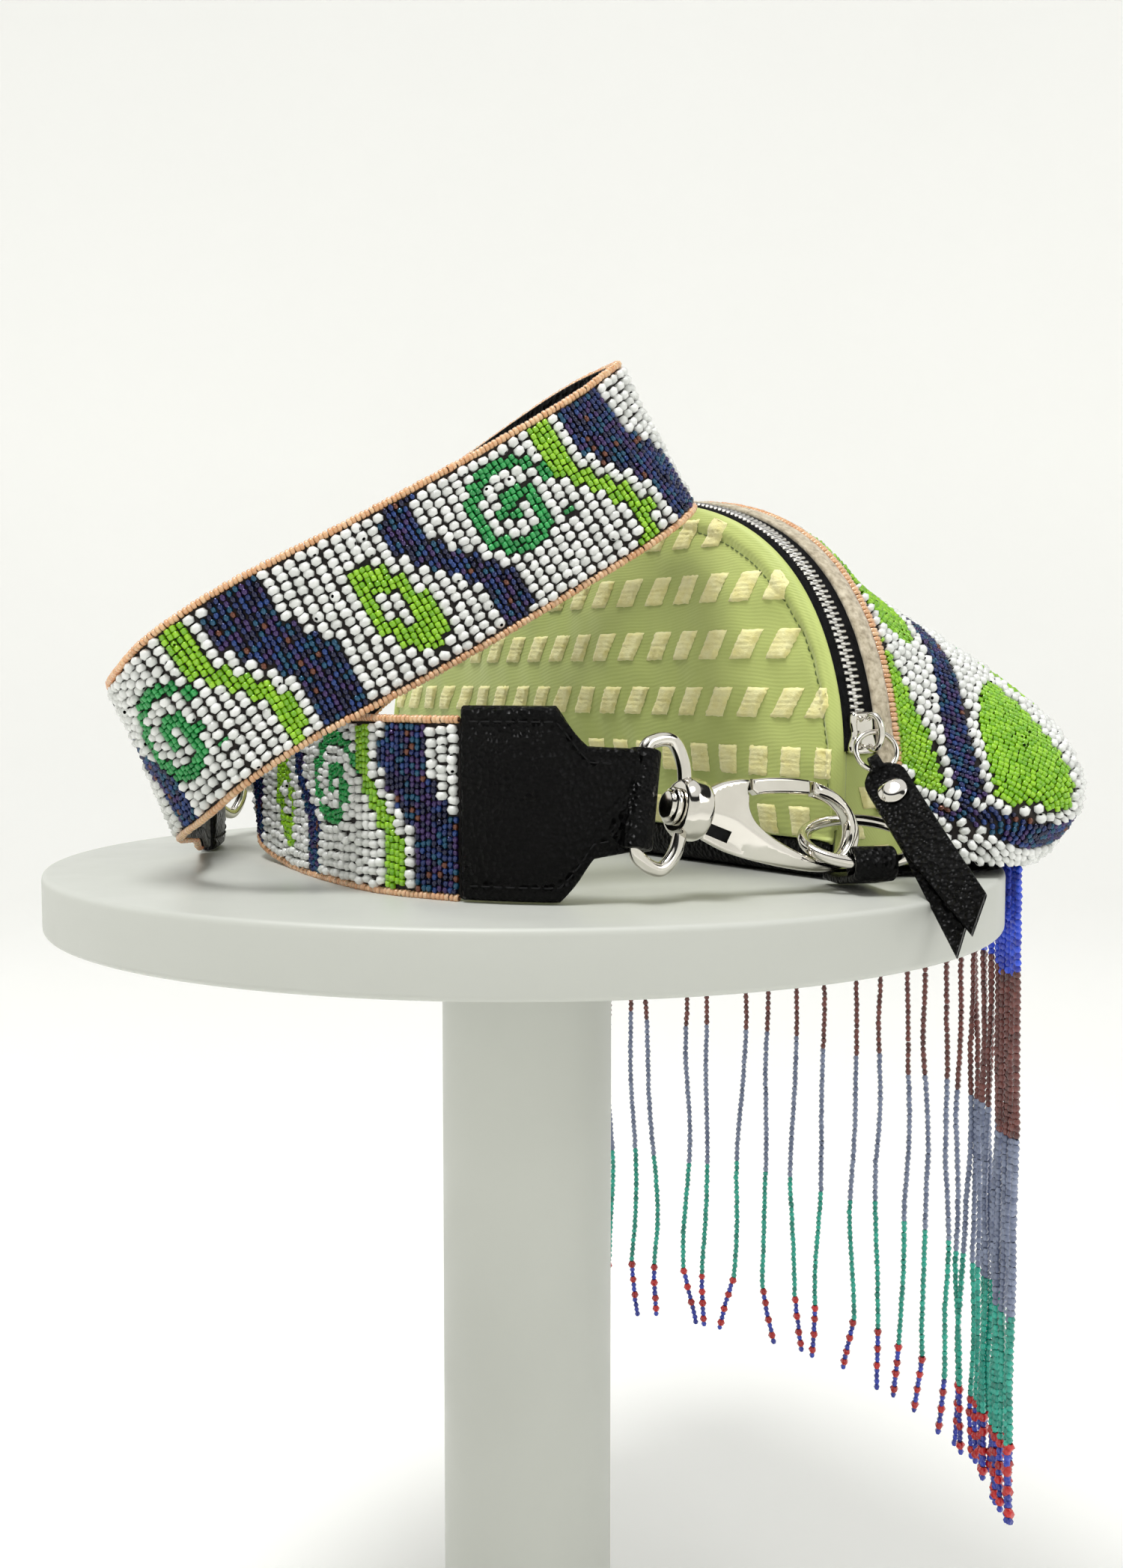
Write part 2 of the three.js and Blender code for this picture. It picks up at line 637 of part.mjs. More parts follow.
function hookLoop() {
  const half = LOOP.halfWidth;
  const arc = (from, to, b) => spread(from, to, 6).map((turn) => new THREE.Vector3(
    LOOP.centre + half * Math.cos(turn), b + half * Math.sin(turn), 0));
  const oval = [...arc(0, Math.PI, LOOP.straight), ...arc(Math.PI, 2 * Math.PI, -LOOP.straight)];
  const ring = wireLoop(oval, LOOP.wire, 8);
  const collar = rod('x', COLLAR.from, COLLAR.to, COLLAR.radius, 24);
  return join([ring, collar]);
}

// Closed flat loop of wire in the plane of its points
function wireLoop(points, radius, sides) {
  const loops = points.map((point, i) => {
    const before = points[(i + points.length - 1) % points.length];
    const tangent = points[(i + 1) % points.length].clone().sub(before).normalize();
    const out = new THREE.Vector3(tangent.y, -tangent.x, 0);
    return Array.from({ length: sides }, (_, j) => {
      const turn = (2 * Math.PI * (j + 0.5)) / sides;
      return point.clone().addScaledVector(out, radius * Math.cos(turn)).setZ(radius * Math.sin(turn));
    });
  });
  return skin(loops, true);
}

function pointsOf(rows) {
  return rows.map(([a, b]) => new THREE.Vector2(a, b));
}

function plate(shape, thickness) {
  return new THREE.ExtrudeGeometry(shape, { depth: thickness, bevelEnabled: false, curveSegments: 2 })
    .translate(0, 0, -thickness / 2);
}

// Open hook: the shank, the eye's lower bar and the nose that meets the gate
function hookBody() {
  const shape = new THREE.Shape();
  shape.moveTo(0, -7.4);
  shape.lineTo(0, 6.6);
  shape.splineThru(pointsOf([[5, 9.4], [10.4, 11.2], [13.8, 11.6]]));
  shape.lineTo(13.8, 6.4);
  shape.splineThru(pointsOf([[14.2, 3], [17, -0.6], [24, -4], [33, -6.4], [40, -6.6], [45.4, -3],
    [47.2, 2.4], [45.6, 6.6], [41, 9.4], [34.3, 10.5]]));
  shape.lineTo(34.3, 14.8);
  shape.splineThru(pointsOf([[39, 14.2], [45, 11.6], [50, 6.8], [51.8, 1.4], [50.4, -4.6], [46, -8.6],
    [37.6, -10.6], [23.5, -10.9], [9.4, -9.8], [0, -7.4]]));
  return plate(shape, HOOK_THICKNESS);
}

function hookGate() {
  const shape = new THREE.Shape();
  shape.moveTo(14.6, 8.6);
  shape.lineTo(14.2, 11.6);
  shape.splineThru(pointsOf([[20, 13.1], [27, 14.3], [33.2, 14.8]]));
  shape.lineTo(33.85, 10.8);
  shape.splineThru(pointsOf([[27, 9.9], [20, 8.6], [16.2, 7.5]]));
  return plate(shape, HOOK_THICKNESS - 0.6);
}

// Plain closed hook for the hidden end: loop, collar, shank and eye in one
function plainHook() {
  const shape = new THREE.Shape();
  const { a, b, halfLong, halfShort, wall, shank } = FAR_EYE;
  shape.absellipse(a, b, halfLong, halfShort, 0, 2 * Math.PI);
  const hole = new THREE.Path();
  hole.absellipse(a, b, halfLong - wall, halfShort - wall, 0, 2 * Math.PI);
  shape.holes.push(hole);
  const eye = new THREE.ExtrudeGeometry(shape, { depth: HOOK_THICKNESS, bevelEnabled: false, curveSegments: 9 })
    .translate(0, 0, -HOOK_THICKNESS / 2);
  return join([hookLoop(), eye, rod('x', COLLAR.to - 2, a - halfLong + wall, shank, 12)]);
}

function makeHooks() {
  const near = new THREE.Group();
  near.applyMatrix4(hookMatrix(HOOK_NEAR));
  const bore = rod('x', COLLAR.from - 4, COLLAR.to + 4, COLLAR.bore, 16);
  const headEnd = COLLAR.from - GAP;
  const stud = join([
    rod('x', headEnd - STUD.headLength, headEnd, STUD.head, 20),
    rod('x', headEnd - 1, -GAP, STUD.pin, 16),
  ]);
  const metal = () => finish('nickel', 0.12, 1);
  near.add(piece('hook_loop', cut(hookLoop(), bore), metal()));
  near.add(piece('hook_barrel', stud, metal()));
  near.add(piece('hook_body', hookBody(), metal()));
  near.add(piece('hook_gate', hookGate(), metal()));
  const far = new THREE.Group();
  far.applyMatrix4(hookMatrix(HOOK_FAR));
  far.add(piece('hook_far', plainHook(), metal()));
  const hooks = new THREE.Group();
  hooks.add(near, far);
  hooks.add(piece('strap_tab_near', strapTab(TAB_NEAR, HOOK_NEAR), finish('black', 0.55)));
  hooks.add(piece('strap_tab_far', strapTab(TAB_FAR, HOOK_FAR), finish('black', 0.55)));
  return hooks;
}

// Ring at a corner of the bag and the folded leather tab that holds it
function makeRingSet({ end, corner, way, start, reach, lie }) {
  const out = new THREE.Vector3(way[0], way[1], 0).normalize();
  const across = new THREE.Vector3(0, 0, 1).cross(out);
  const frame = new THREE.Matrix4().makeBasis(out, across, new THREE.Vector3(0, 0, 1));
  frame.setPosition(corner[0], corner[1], 0);
  const slab = new THREE.BoxGeometry(reach - start, RING_TAB.width, RING_TAB.top - GAP)
    .translate((reach + start) / 2, 0, (RING_TAB.top + GAP) / 2);
  const round = (radius, width) => rod('y', -width / 2, width / 2, radius, 16)
    .translate(reach, 0, RING_TAB.fold);
  const towards = Math.sign(lie[0]);
  const bore = round(RING_TAB.bore, RING_TAB.width * 2).translate(towards * 0.5, 0, 0);
  const tab = cut(join([slab, round(RING_TAB.outer, RING_TAB.width)]), bore);
  const spoke = new THREE.Vector3(lie[0], 0, lie[1]).normalize();
  const side = new THREE.Vector3(0, 1, 0);
  const ringFrame = new THREE.Matrix4().makeBasis(side, spoke, side.clone().cross(spoke));
  ringFrame.setPosition(new THREE.Vector3(reach, 0, RING_TAB.fold).addScaledVector(spoke, RING.halfShort));
  const oval = spread(0, 2 * Math.PI, 20).slice(0, -1).map((turn) => new THREE.Vector3(
    RING.halfLong * Math.cos(turn), RING.halfShort * Math.sin(turn), 0));
  const ring = wireLoop(oval, RING.wire, 8).applyMatrix4(ringFrame);
  const set = new THREE.Group();
  set.applyMatrix4(frame);
  set.add(piece(`ring_tab_${end}`, tab, finish('black', 0.55)));
  set.add(piece(`ring_${end}`, ring, finish('nickel', 0.12, 1)));
  return set;
}

// Folded leather pull: two tails that spread below a fold, on a ring that hangs from the slider
function makePull(bail, through) {
  const down = PULL_END.clone().sub(PULL_TOP);
  const length = down.length();
  down.normalize();
  const across = PULL_ACROSS.clone().addScaledVector(down, -PULL_ACROSS.dot(down)).normalize();
  const front = down.clone().cross(across);
  const frame = new THREE.Matrix4().makeBasis(across, front, down).setPosition(PULL_TOP);
  const half = PULL.wall / 2;
  const layer = half + GAP;
  const { tip, tipOut, belly, bellyOut, closed } = PULL_EYE;
  const { width, neck } = PULL;
  const path = [
    { out: layer + PULL.spread, along: length - PULL.spread, width },
    { out: layer, along: length * PULL.split, width },
    { out: layer, along: closed, width },
    { out: bellyOut, along: belly, width: neck },
    { out: tipOut, along: tip, width: neck },
    { out: 0, along: 0, width: neck },
    { out: -tipOut, along: tip, width: neck },
    { out: -bellyOut, along: belly, width: neck },
    { out: -layer, along: closed, width },
    { out: -layer, along: length * PULL.split, width },
    { out: -layer, along: length, width },
  ];
  const sideways = new THREE.Vector3(1, 0, 0);
  const stations = path.map((row, i) => {
    const before = path[Math.max(i - 1, 0)];
    const after = path[Math.min(i + 1, path.length - 1)];
    const tangent = new THREE.Vector3(0, after.out - before.out, after.along - before.along).normalize();
    return {
      centre: new THREE.Vector3(0, row.out, row.along),
      across: sideways,
      out: tangent.clone().cross(sideways),
      width: row.width,
      inner: -half,
      outer: half,
    };
  });
  const leather = strip(stations).applyMatrix4(frame);
  const { radius: rivet, rise } = RIVET;
  const dome = latheUpright([[0, 0], [rivet, 0], [rivet * 0.75, rise * 0.7], [0, rise]], 16)
    .rotateX(-Math.PI / 2)
    .translate(0, layer + half + GAP, PULL.rivetAt)
    .applyMatrix4(frame);
  const inside = PULL_TOP.clone().addScaledVector(down, PULL.inside);
  const hang = inside.clone().sub(bail);
  const radius = hang.length() / 2;
  hang.normalize();
  const flat = through.clone().addScaledVector(across, 2);
  flat.addScaledVector(hang, -flat.dot(hang)).normalize();
  const ringFrame = new THREE.Matrix4().makeBasis(flat, hang, flat.clone().cross(hang))
    .setPosition(bail.clone().lerp(inside, 0.5));
  const ring = new THREE.TorusGeometry(radius, PULL_RING_WIRE, 6, 16).applyMatrix4(ringFrame);
  const pull = new THREE.Group();
  pull.add(piece('zip_pull_ring', ring, finish('nickel', 0.12, 1)));
  pull.add(piece('zip_pull', leather, finish('black', 0.55)));
  pull.add(piece('pull_rivet', dome, finish('nickel', 0.15, 1)));
  return pull;
}

const bag = makeBag();
bag.updateMatrix();
const bail = bailCentre().applyMatrix4(sliderMatrix()).applyMatrix4(bag.matrix);
const through = new THREE.Vector3(0, -1, 0).transformDirection(bag.matrix);
const laid = new THREE.Group();
laid.position.set(LAID.x, LAID.y, STAND_HEIGHT);
laid.add(bag, makeStrap(), makeHooks(), makePull(bail, through));
RING_SETS.forEach((set) => laid.add(makeRingSet(set)));

const onTop = new THREE.Group();
onTop.position.z = STAND_HEIGHT;
const bagToTop = new THREE.Matrix4().makeTranslation(LAID.x, LAID.y, 0).multiply(bag.matrix);
const places = fringePlaces(bagToTop);
onTop.add(piece('fringe_head', fringeHead(places), finish('blue', 0.35)));
onTop.add(piece('fringe', fringeStrands(places), finish('blue', 0.35)));

const part = new THREE.Group();
part.add(makeStand(), laid, onTop);

export default part;
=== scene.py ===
"""Finished look of the beaded fringe bag on its round stand.

Shapes are worked out in millimetres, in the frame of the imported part, and turned into metres as each
mesh is made.
"""
import math

import bpy
import numpy as np
from mathutils import Matrix, Vector
from mathutils.geometry import delaunay_2d_cdt


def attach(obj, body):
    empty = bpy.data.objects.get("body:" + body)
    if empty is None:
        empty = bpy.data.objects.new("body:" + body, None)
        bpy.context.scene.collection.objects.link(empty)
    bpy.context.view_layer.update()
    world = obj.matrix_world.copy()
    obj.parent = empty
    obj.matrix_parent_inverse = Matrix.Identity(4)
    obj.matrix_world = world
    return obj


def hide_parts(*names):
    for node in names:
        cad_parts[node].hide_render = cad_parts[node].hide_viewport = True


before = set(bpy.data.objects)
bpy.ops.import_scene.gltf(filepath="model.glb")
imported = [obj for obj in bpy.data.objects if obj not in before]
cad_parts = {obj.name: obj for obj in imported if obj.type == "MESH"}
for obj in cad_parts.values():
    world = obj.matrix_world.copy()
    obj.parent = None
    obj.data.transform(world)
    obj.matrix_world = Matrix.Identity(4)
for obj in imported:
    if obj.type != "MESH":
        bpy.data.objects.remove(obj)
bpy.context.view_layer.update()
MM = 0.001
RNG = np.random.default_rng(7)
UP = np.array([0.0, 0.0, 1.0])

# Camera at the photograph's angle, and the stage
CAMERA_PLACE = (11.7, -526.0, 379.0)
CAMERA_PITCH = 3.77
CAMERA_LENS = 36.1
CAMERA_SENSOR = 36.0
STAGE = {"floor_radius": 2300.0, "bend_radius": 900.0, "top": 2300.0}
STAGE_GLOW = {"Emission_Color": (1.0, 1.0, 0.98, 1.0), "Emission_Strength": 0.12}

# Shades of the world from its lowest point to its highest, and the lights, in metres and watts
WORLD_STRENGTH = 0.86
BRIGHT = (1.0, 1.0, 0.99, 1.0)
DARK = (0.03, 0.03, 0.03, 1.0)
WORLD_SHADES = [(0.54, BRIGHT), (0.57, DARK), (0.75, DARK), (0.81, BRIGHT)]
LIGHT_AIM = (0.0, 0.0, 0.36)
LIGHTS = [
    {"name": "key", "place": (-0.45, -0.4, 2.1), "size": 0.7, "power": 26.0},
    {"name": "fill", "place": (1.1, -0.8, 1.3), "size": 0.9, "power": 4.5},
]

# Stand
STAND_HEIGHT = 320.0
STAND_RADIUS = 155.0
STAND_THICKNESS = 18.0
STAND_EDGE = 1.92
COLUMN_RADIUS = 28.5
COLUMN_EDGE = 0.6
FOOT_RADIUS = 105.0
FOOT_THICKNESS = 14.0
GAP = 0.3

# Where the bag and strap lie on the stand, and the bag's own frame
LAID = np.array([-3.7, -5.0, STAND_HEIGHT])
BAG_CORNER = np.array([97.0, -66.0, 0.0])
BAG_TURN = math.radians(126.9)
BAG_LENGTH = 254.0
BAG_HEIGHT = 118.0
ARCH_POWER = 3
END_TUCK = {"inward": 7.0, "below": 60.0}
CORNER_INSET = 5.0
PANEL_WALL = 1.6

# Green panel: its cloth, the seam along its edge, the cloth folded over the zip as (depth, lift), its dashes
BACK_BOTTOM = 12.0
BACK_SWELL = 8.0
BACK_DROP_POWER = 1.25
WANDER = [{"high": 0.9, "span": 46.0, "seed": 3}, {"high": 0.35, "span": 19.0, "seed": 5}]
SEAM = {"inset": 6.5, "dent": 0.75, "half": 1.1}
GATHERS = {"high": 0.28, "half": 5.0, "span": 2.1, "drift": 1.5, "drift_span": 9.0}
PANEL_RIM = {"high": 0.9, "inset": 2.6, "half": 2.4}
FOLD_OVER = [(3.3, 0.25), (2.5, 0.75), (1.2, 0.85)]
DASH = {"pitch": 13.0, "first": 17.0, "row": 17.7, "width": 7.6, "height": 9.0, "rise": 1.1, "margin": 1.0,
        "lift": 0.12, "ragged_across": 0.12, "ragged_up": 0.1, "row_start": 0.25, "row_shift": 0.18}
DASH_LEANS = [0.0, 0.06, 0.55, 0.5, 0.42, 0.5]
KNOTS = {"ribs": 6, "across": 3.5, "shift": 1.4, "least": 0.72, "edge": 9}
STITCH = {"first": 0.6, "radius": 0.24, "bow": (-0.15, 0.12, 0.2, 0.12, -0.15)}

# Green strips at the bag's ends: angle on the arch and depth reached, and their dashes as (up, depth)
GUSSET_ROWS = [(1.6, 33.0), (5.0, 33.0), (8.2, 33.0), (8.7, 15.5), (12.5, 15.5), (16.8, 15.5)]
GUSSET_BOW = {"high": 0.5, "ripple": 0.2, "span": 11.0, "seed": 8}
GUSSET_DASHES = [(7.0, 17.5), (15.5, 7.0), (24.5, 11.5)]
GUSSET_DASH = {"height": 6.5, "width": 5.5, "slant": 1.8, "lift": 0.15}

# Base: its wall and floor, and the black edge turned up behind the green panel as (depth, height), leather
# that is also painted shade under the panel's lower edge
BASE = {"wall": 1.3, "floor": 1.9, "behind_hem": 6.5, "end_share": 0.02}
BASE_EDGE = [(1.15, BACK_BOTTOM - GAP), (0.9, 7.2), (1.5, 3.5), (2.4, 2.4), (4.0, BASE["floor"])]

# Zip, trim and piping round the arch; a tooth's loops are shares of its length, width and rise
ZIP_ANGLE = 17.0
EDGE_ANGLE = 9.0
TAPE_DEPTH = (1.9, 15.5)
TAPE_WALL = 1.2
TAPE_EDGE_DROP = 0.15
TEETH_DEPTH = (4.7, 10.5)
TEETH_ANGLES = (21.6, 161.5)
TEETH_LIFT = 0.2
TOOTH = {"pitch": 2.0, "length": 3.7, "thick": 1.15, "rise": 1.75, "edge": 0.35, "clear": 0.1}
TOOTH_LOOPS = [(0.0, 0.7, 0.75), (0.08, 1.0, 1.0), (0.6, 0.95, 1.0), (0.92, 0.8, 0.82), (1.0, 0.5, 0.5)]
LINEN_DEPTH = (14.7, 20.9)
LINEN_LIFT = 0.5
LINEN = {"crown": 0.5, "thread": 0.22, "held_edge": 0.2, "centre_up": 20.0}
PIPING_DEPTH = 22.7
PIPING_RADIUS = 1.65
PIPING_LIFT = 1.3

# Sections of the beaded front: angle on the arch, hem along, depth and height, and swell past the hem
FRONT_DEPTH = 24.9
FRONT_SECTIONS = [
    (9, -2, 29, 9, 3),
    (14, -11, 37, 5.5, 8),
    (20, -17, 51, 4.7, 13),
    (29, -13, 70, 4.7, 16),
    (44, 10, 86, 4.7, 16),
    (66, 62, 93, 4.7, 15),
    (90, 127, 95, 4.7, 15),
]
SHOULDER = {"out": 0.38, "drop": 0.36}
BELLY = {"out": 3.0, "rise": 0.62}
FRONT_CLOTH_LIFT = 1.2
FRONT_BEAD_LIFT = 1.6

# Generic beadwork of the front: a band above the hem, one below the zip, leaves and swirls
FRONT_BAND = {"half": 4.6, "border": 9.0}
HEM_BAND = {"up": 17, "wave": 4, "span": 11.0, "phase": 1.0}
UPPER_BAND = {"down": 30, "wave": 8, "span": 21.0}
FRONT_LEAF = {"pitch": 62.0, "shift": 15.0, "down": 64, "wave": 5, "span": 40.0, "slant": 0.5,
              "half_wide": 8.0, "half_tall": 16.0, "heart": 0.6}
SWIRL = {"span": 9.5, "bend": 1.4, "bend_span": 10.0, "cross": 0.7, "cross_span": 8.0, "drift_span": 24.0}

# Fringe: strands across the hem, a bunch of extra ones, and how each drifts aside as it falls
STRAND_COUNT = 34
STRAND_END = (-211.0, -220.0)
STRAND_SHARE = {"from": 0.27, "to": 0.76, "crowding": 1.08}
BUNCH = {"from": 0.09, "to": 0.28, "count": 9, "outset": 2.0, "aside": 0.6}
STRAND_DRIFT = {"aside": 2.2, "lean": 2.6, "flick": 0.2, "band": 1.5}
SLOW_SWAY = {"high": 1.52, "span": (26, 38)}
QUICK_SWAY = {"high": 0.72, "span": (11, 15)}
STRAND_BULGE = {"high": 0.7, "span": 17.0}
STRAND_CROSSING = 3.2
CROSSING_TURNS = (0, 1, -1, 0)
FREE_FALL = {"start": 8.0, "span": 60.0}
LEAN_FALL = {"start": 40, "span": 170}
CROSSING_FALL = {"start": 70, "span": 110}
TIP_LENGTH = 24.0
TIP_BEADS = {"pitch": 6.2, "red": 2.2, "last_red": 20}
HEAD = {"radius": 1.2, "behind_hem": 3.0, "down": 1.5}
OVER_RIM = {"clear": 2.0, "low": 1.55, "dip": 2.6, "turn_in": 0.5, "turn_down": 0.9}
FRINGE_BANDS = [(-34.0, "royal"), (-87.0, "maroon"), (-146.0, "grey_blue"), (-197.0, "teal")]

# Strap: its section, and its centre line on the stand's top (x, y, up) with how far its width leans
STRAP_WIDTH = 48.5
STRAP_EDGE = 1.5
STRAP_CLOTH = {"inset": 1.0, "wall": 0.9, "edge": 0.4, "lift": 0.5}
BACKING = {"wall": 1.5, "edge": 0.7, "stitch_inset": 3.2, "stitch_pitch": 5.0, "stitch_length": 3.4}
STRAP_BEAD_LIFT = 1.55
EDGING = {"inset": 0.35, "lift": 1.35}
STRAP_ROUTE = [
    (-11, -102.5, 24.7, 0),
    (-32, -88, 24.7, 0),
    (-52, -60, 24.7, 0),
    (-70, -24, 25, 0),
    (-86, 4, 31, 8),
    (-88, 26, 43, 18),
    (-66, 36, 66, 28),
    (-31, 24, 95, 31),
    (3, 6, 117, 31),
    (27, -11, 130, 31),
    (39.5, -25, 133.5, 29),
    (42, -40, 131.5, 28),
    (33.5, -54, 122.5, 30),
    (6, -66, 104.5, 31),
    (-31, -81.5, 82, 31),
    (-66, -88, 63, 31),
    (-84, -88, 51, 31),
    (-95, -79, 42.5, 31),
    (-105, -60, 35.5, 24),
    (-105, -22, 32, 14),
    (-106.2, 6, 27, 4),
    (-106.7, 16.5, 26.4, 0),
]

# Generic beadwork of the strap: places along one repeat
STRAP_REPEAT = 118.0
BAND_SWAY = {"high": 3.6, "span": 6.5, "slant": 0.3}
NAVY_BAND = {"at": 12, "half": 8.5}
LIME_BAND = {"at": 29, "half": 3.2}
CURL = {"at": 54, "drift": 4, "turn": 2.1, "radius": 16, "pitch": 9.6, "share": 0.46}
VINE = {"at": 78, "half": 5.2, "sway": 1.2}
STRAP_LEAF = {"at": 99, "side": -3, "slant": 0.3, "half_wide": 8.5, "half_tall": 15.0, "heart": 0.4}

# Leather ends of the strap: centre line (x, y, up), width and wall, and half a section as shares of both
TAB_NEAR = [
    (-10.6, -103.2, 26.4, 52, 6.4),
    (2, -107, 26.4, 52, 6.8),
    (14.5, -108.8, 26.4, 52, 6.4),
    (23, -107.8, 26.8, 30, 5),
]
TAB_FAR = [
    (-106.8, 18.4, 26.4, 52, 6.4),
    (-107.3, 30, 26.4, 52, 6.8),
    (-108.8, 43, 26.4, 52, 6.4),
    (-110.4, 51.5, 26.7, 30, 5),
]
TAB_FOLD = {"width": 27.0, "wall": 5.0, "outer": 4.5, "bore": 2.1, "edge": 1.0}
TAB_SECTION = [(1.0, 0.0), (0.985, 0.6), (0.955, 0.88), (0.9, 0.96), (0.845, 0.82), (0.79, 0.92), (0.6, 1.0),
               (0.3, 1.03), (0.0, 1.04)]
TAB_START = np.array([0.72, 0.9, 0.98])
TAB_STITCH = {"inset": 4.2, "height": 0.96, "pitch": 3.4, "length": 2.3, "rows": slice(4, 78)}

# Snap hooks: place, way along the hook and way out of its face
HOOK_NEAR = {"place": (53.5, -97, 23.5), "axis": (0.885, 0.42, -0.205), "face": (0.34, -0.9, 0.2)}
HOOK_FAR = {"place": (-102.2, 82.4, 24), "axis": (0.55, 0.835, -0.2), "face": (0.835, -0.55, 0.1)}
HOOK_THICKNESS = 4.4
LOOP = {"centre": -12.9, "half_width": 6.6, "straight": 10.9, "wire": 2.0}
LOOP_BAR = LOOP["centre"] - LOOP["half_width"]
COLLAR = {"from": -8.6, "to": -0.6, "radius": 8.6}
STUD = {"pin": 2.7, "head": 5.2, "head_length": 2.4, "edge": 0.4}
FAR_EYE = {"a": 30.0, "b": 1.5, "half_long": 21.5, "half_short": 11.5, "wall": 4.4, "shank": 3.4,
           "edge": 1.25}

# Order of the hook's axes that makes a turned piece run along a, or along b
ALONG_A = [1, 2, 0]
ALONG_B = [2, 0, 1]

# Outlines of the hook's body and gate as runs of points (a, b); each run is smooth and its ends are corners
BODY_RUNS = [
    [(0, -7.4), (0, 6.6)],
    [(0, 6.6), (5, 9.4), (10.4, 11.2), (13.8, 11.6)],
    [(13.8, 11.6), (13.8, 6.4)],
    [(13.8, 6.4), (14.2, 3), (17, -0.6), (24, -4), (33, -6.4), (40, -6.6), (45.4, -3), (47.2, 2.4),
     (45.6, 6.6), (41, 9.4), (34.3, 10.5)],
    [(34.3, 10.5), (34.3, 14.8)],
    [(34.3, 14.8), (39, 14.2), (45, 11.6), (50, 6.8), (51.8, 1.4), (50.4, -4.6), (46, -8.6), (37.6, -10.6),
     (23.5, -10.9), (9.4, -9.8), (0, -7.4)],
]
GATE_RUNS = [
    [(14.6, 8.6), (14.2, 11.6)],
    [(14.2, 11.6), (20, 13.1), (27, 14.3), (33.2, 14.8)],
    [(33.2, 14.8), (33.85, 10.8)],
    [(33.85, 10.8), (27, 9.9), (20, 8.6), (16.2, 7.5)],
    [(16.2, 7.5), (14.6, 8.6)],
]
GATE = {"thickness": 3.8, "edge": 0.9}

# Ridge along the face of the hook's body, the slopes beside it, the slot in its neck and its net of points
RIDGE = [(-2, 0.2), (8.4, -0.6), (15.5, -3.4), (23, -6.4), (33, -8.2), (40.5, -8.3), (46, -5.6), (49, 1.4),
         (47.4, 6.8), (42.6, 11), (34, 12.7)]
RIDGE_FACE = {"peak": 3.2, "inside": 0.07, "outside": 0.42, "least": 0.6, "back": 2.1, "rounding": 1.2}
SLOT = {"corners": [(1.4, -3.0), (8.8, -4.2), (8.2, -7.4), (1.0, -6.0)], "deep": 1.5}
NET = {"across": 0.9, "up": 0.78, "edge_rows": (0.12, 0.4, 0.8, 1.25), "row_room": 0.93, "inner": 1.6,
       "off_slot": 0.35}

# Rings and their leather tabs
RING = {"half_long": 16.0, "half_short": 12.0, "wire": 1.7}
RING_TAB = {"width": 12.0, "fold": 8.6, "bore": 2.8, "outer": 4.9, "edge": 0.7, "start_up": 2.4,
            "middle_up": 2.6, "wrap": (-0.5 * math.pi, 1.28 * math.pi)}
RING_SETS = [
    {"end": "near", "corner": (97, -66), "way": (0.16, -0.987), "start": 0.7, "reach": 24.6,
     "lie": (-0.9, 0.43)},
    {"end": "far", "corner": (-55.4, 137.2), "way": (-0.8, -0.6), "start": 0.8, "reach": 9.5,
     "lie": (0.9, 0.43)},
]

# Zip slider, with stations as shares of its half length, width and height, and its pull
SLIDER = {"degrees": 19.2, "length": 12.0, "width": 10.2, "height": 3.4, "edge": 1.1}
SLIDER_STATIONS = [(-1.0, 0.62, 0.7), (-0.9, 0.78, 0.95), (-0.4, 0.84, 1.0), (0.0, 0.8, 1.0),
                   (0.5, 0.98, 1.0), (0.88, 1.0, 0.92), (1.0, 0.86, 0.66)]
BAIL = {"radius": 3.3, "stretch": 1.5, "wire": 0.9775, "past_half": 0.22}
BAIL_UP = SLIDER["height"] / 2 + BAIL["radius"] * 0.95
PULL_RING_WIRE = 0.8
PULL_TOP = np.array([105.8, -66.8, 35.5])
PULL_END = np.array([125.0, -117.5, -8.5])
PULL_ACROSS = np.array([0.87, -0.06, 0.49])
PULL = {"width": 12.5, "neck": 3.4, "wall": 1.7, "edge": 0.55, "spread": 1.0, "split": 0.45, "inside": 3.7,
        "rivet_at": 14.0, "slant_from": 0.6, "slant": 0.8, "front_aside": 2.3, "back_aside": -4.0,
        "narrowing": 0.3}
PULL_EYE = {"tip": 1.4, "tip_out": 3.2, "belly": 4.6, "belly_out": 3.6, "closed": 8.6}
RIVET = {"radius": 4.2, "rise": 1.6, "edge": 0.7, "lift": 0.05}

# Beads in each colour: length along the string, diameter, and the darkest and lightest shade
BEADS = {
    "white": (2.55, 3.55, (214, 216, 212), (240, 241, 238)),
    "lime": (1.72, 1.9, (112, 172, 10), (160, 212, 40)),
    "kelly": (1.72, 1.9, (14, 128, 58), (46, 168, 84)),
    "navy": (1.68, 1.92),
    "peach": (1.4, 2.3, (222, 156, 112), (240, 188, 146)),
    "royal": (2.05, 2.35, (16, 40, 172), (34, 80, 230)),
    "maroon": (2.05, 2.35, (84, 38, 36), (122, 62, 56)),
    "grey_blue": (2.05, 2.35, (102, 112, 142), (138, 148, 176)),
    "teal": (2.05, 2.35, (8, 134, 118), (40, 184, 162)),
    "red": (2.6, 3.3, (166, 12, 16), (214, 28, 28)),
    "tip_blue": (2.0, 2.3, (26, 40, 148), (46, 68, 196)),
}
BEAD_GLOSS = {"Roughness": 0.18, "Coat_Weight": 0.5, "Coat_Roughness": 0.08}
BEAD_GLOW = {"lime": {"Subsurface_Weight": 0.12}, "peach": {"Subsurface_Weight": 0.2}}
NAVY_IRIS = [(0.0, (18, 22, 58)), (0.24, (24, 42, 96)), (0.48, (16, 74, 104)), (0.66, (58, 38, 92)),
             (0.84, (26, 58, 120)), (0.95, (104, 58, 40))]
BEAD_GAP = 0.07
BEAD_STRETCH = 1.12
BEAD_COLUMN = 3.6
STRING_END = 0.8
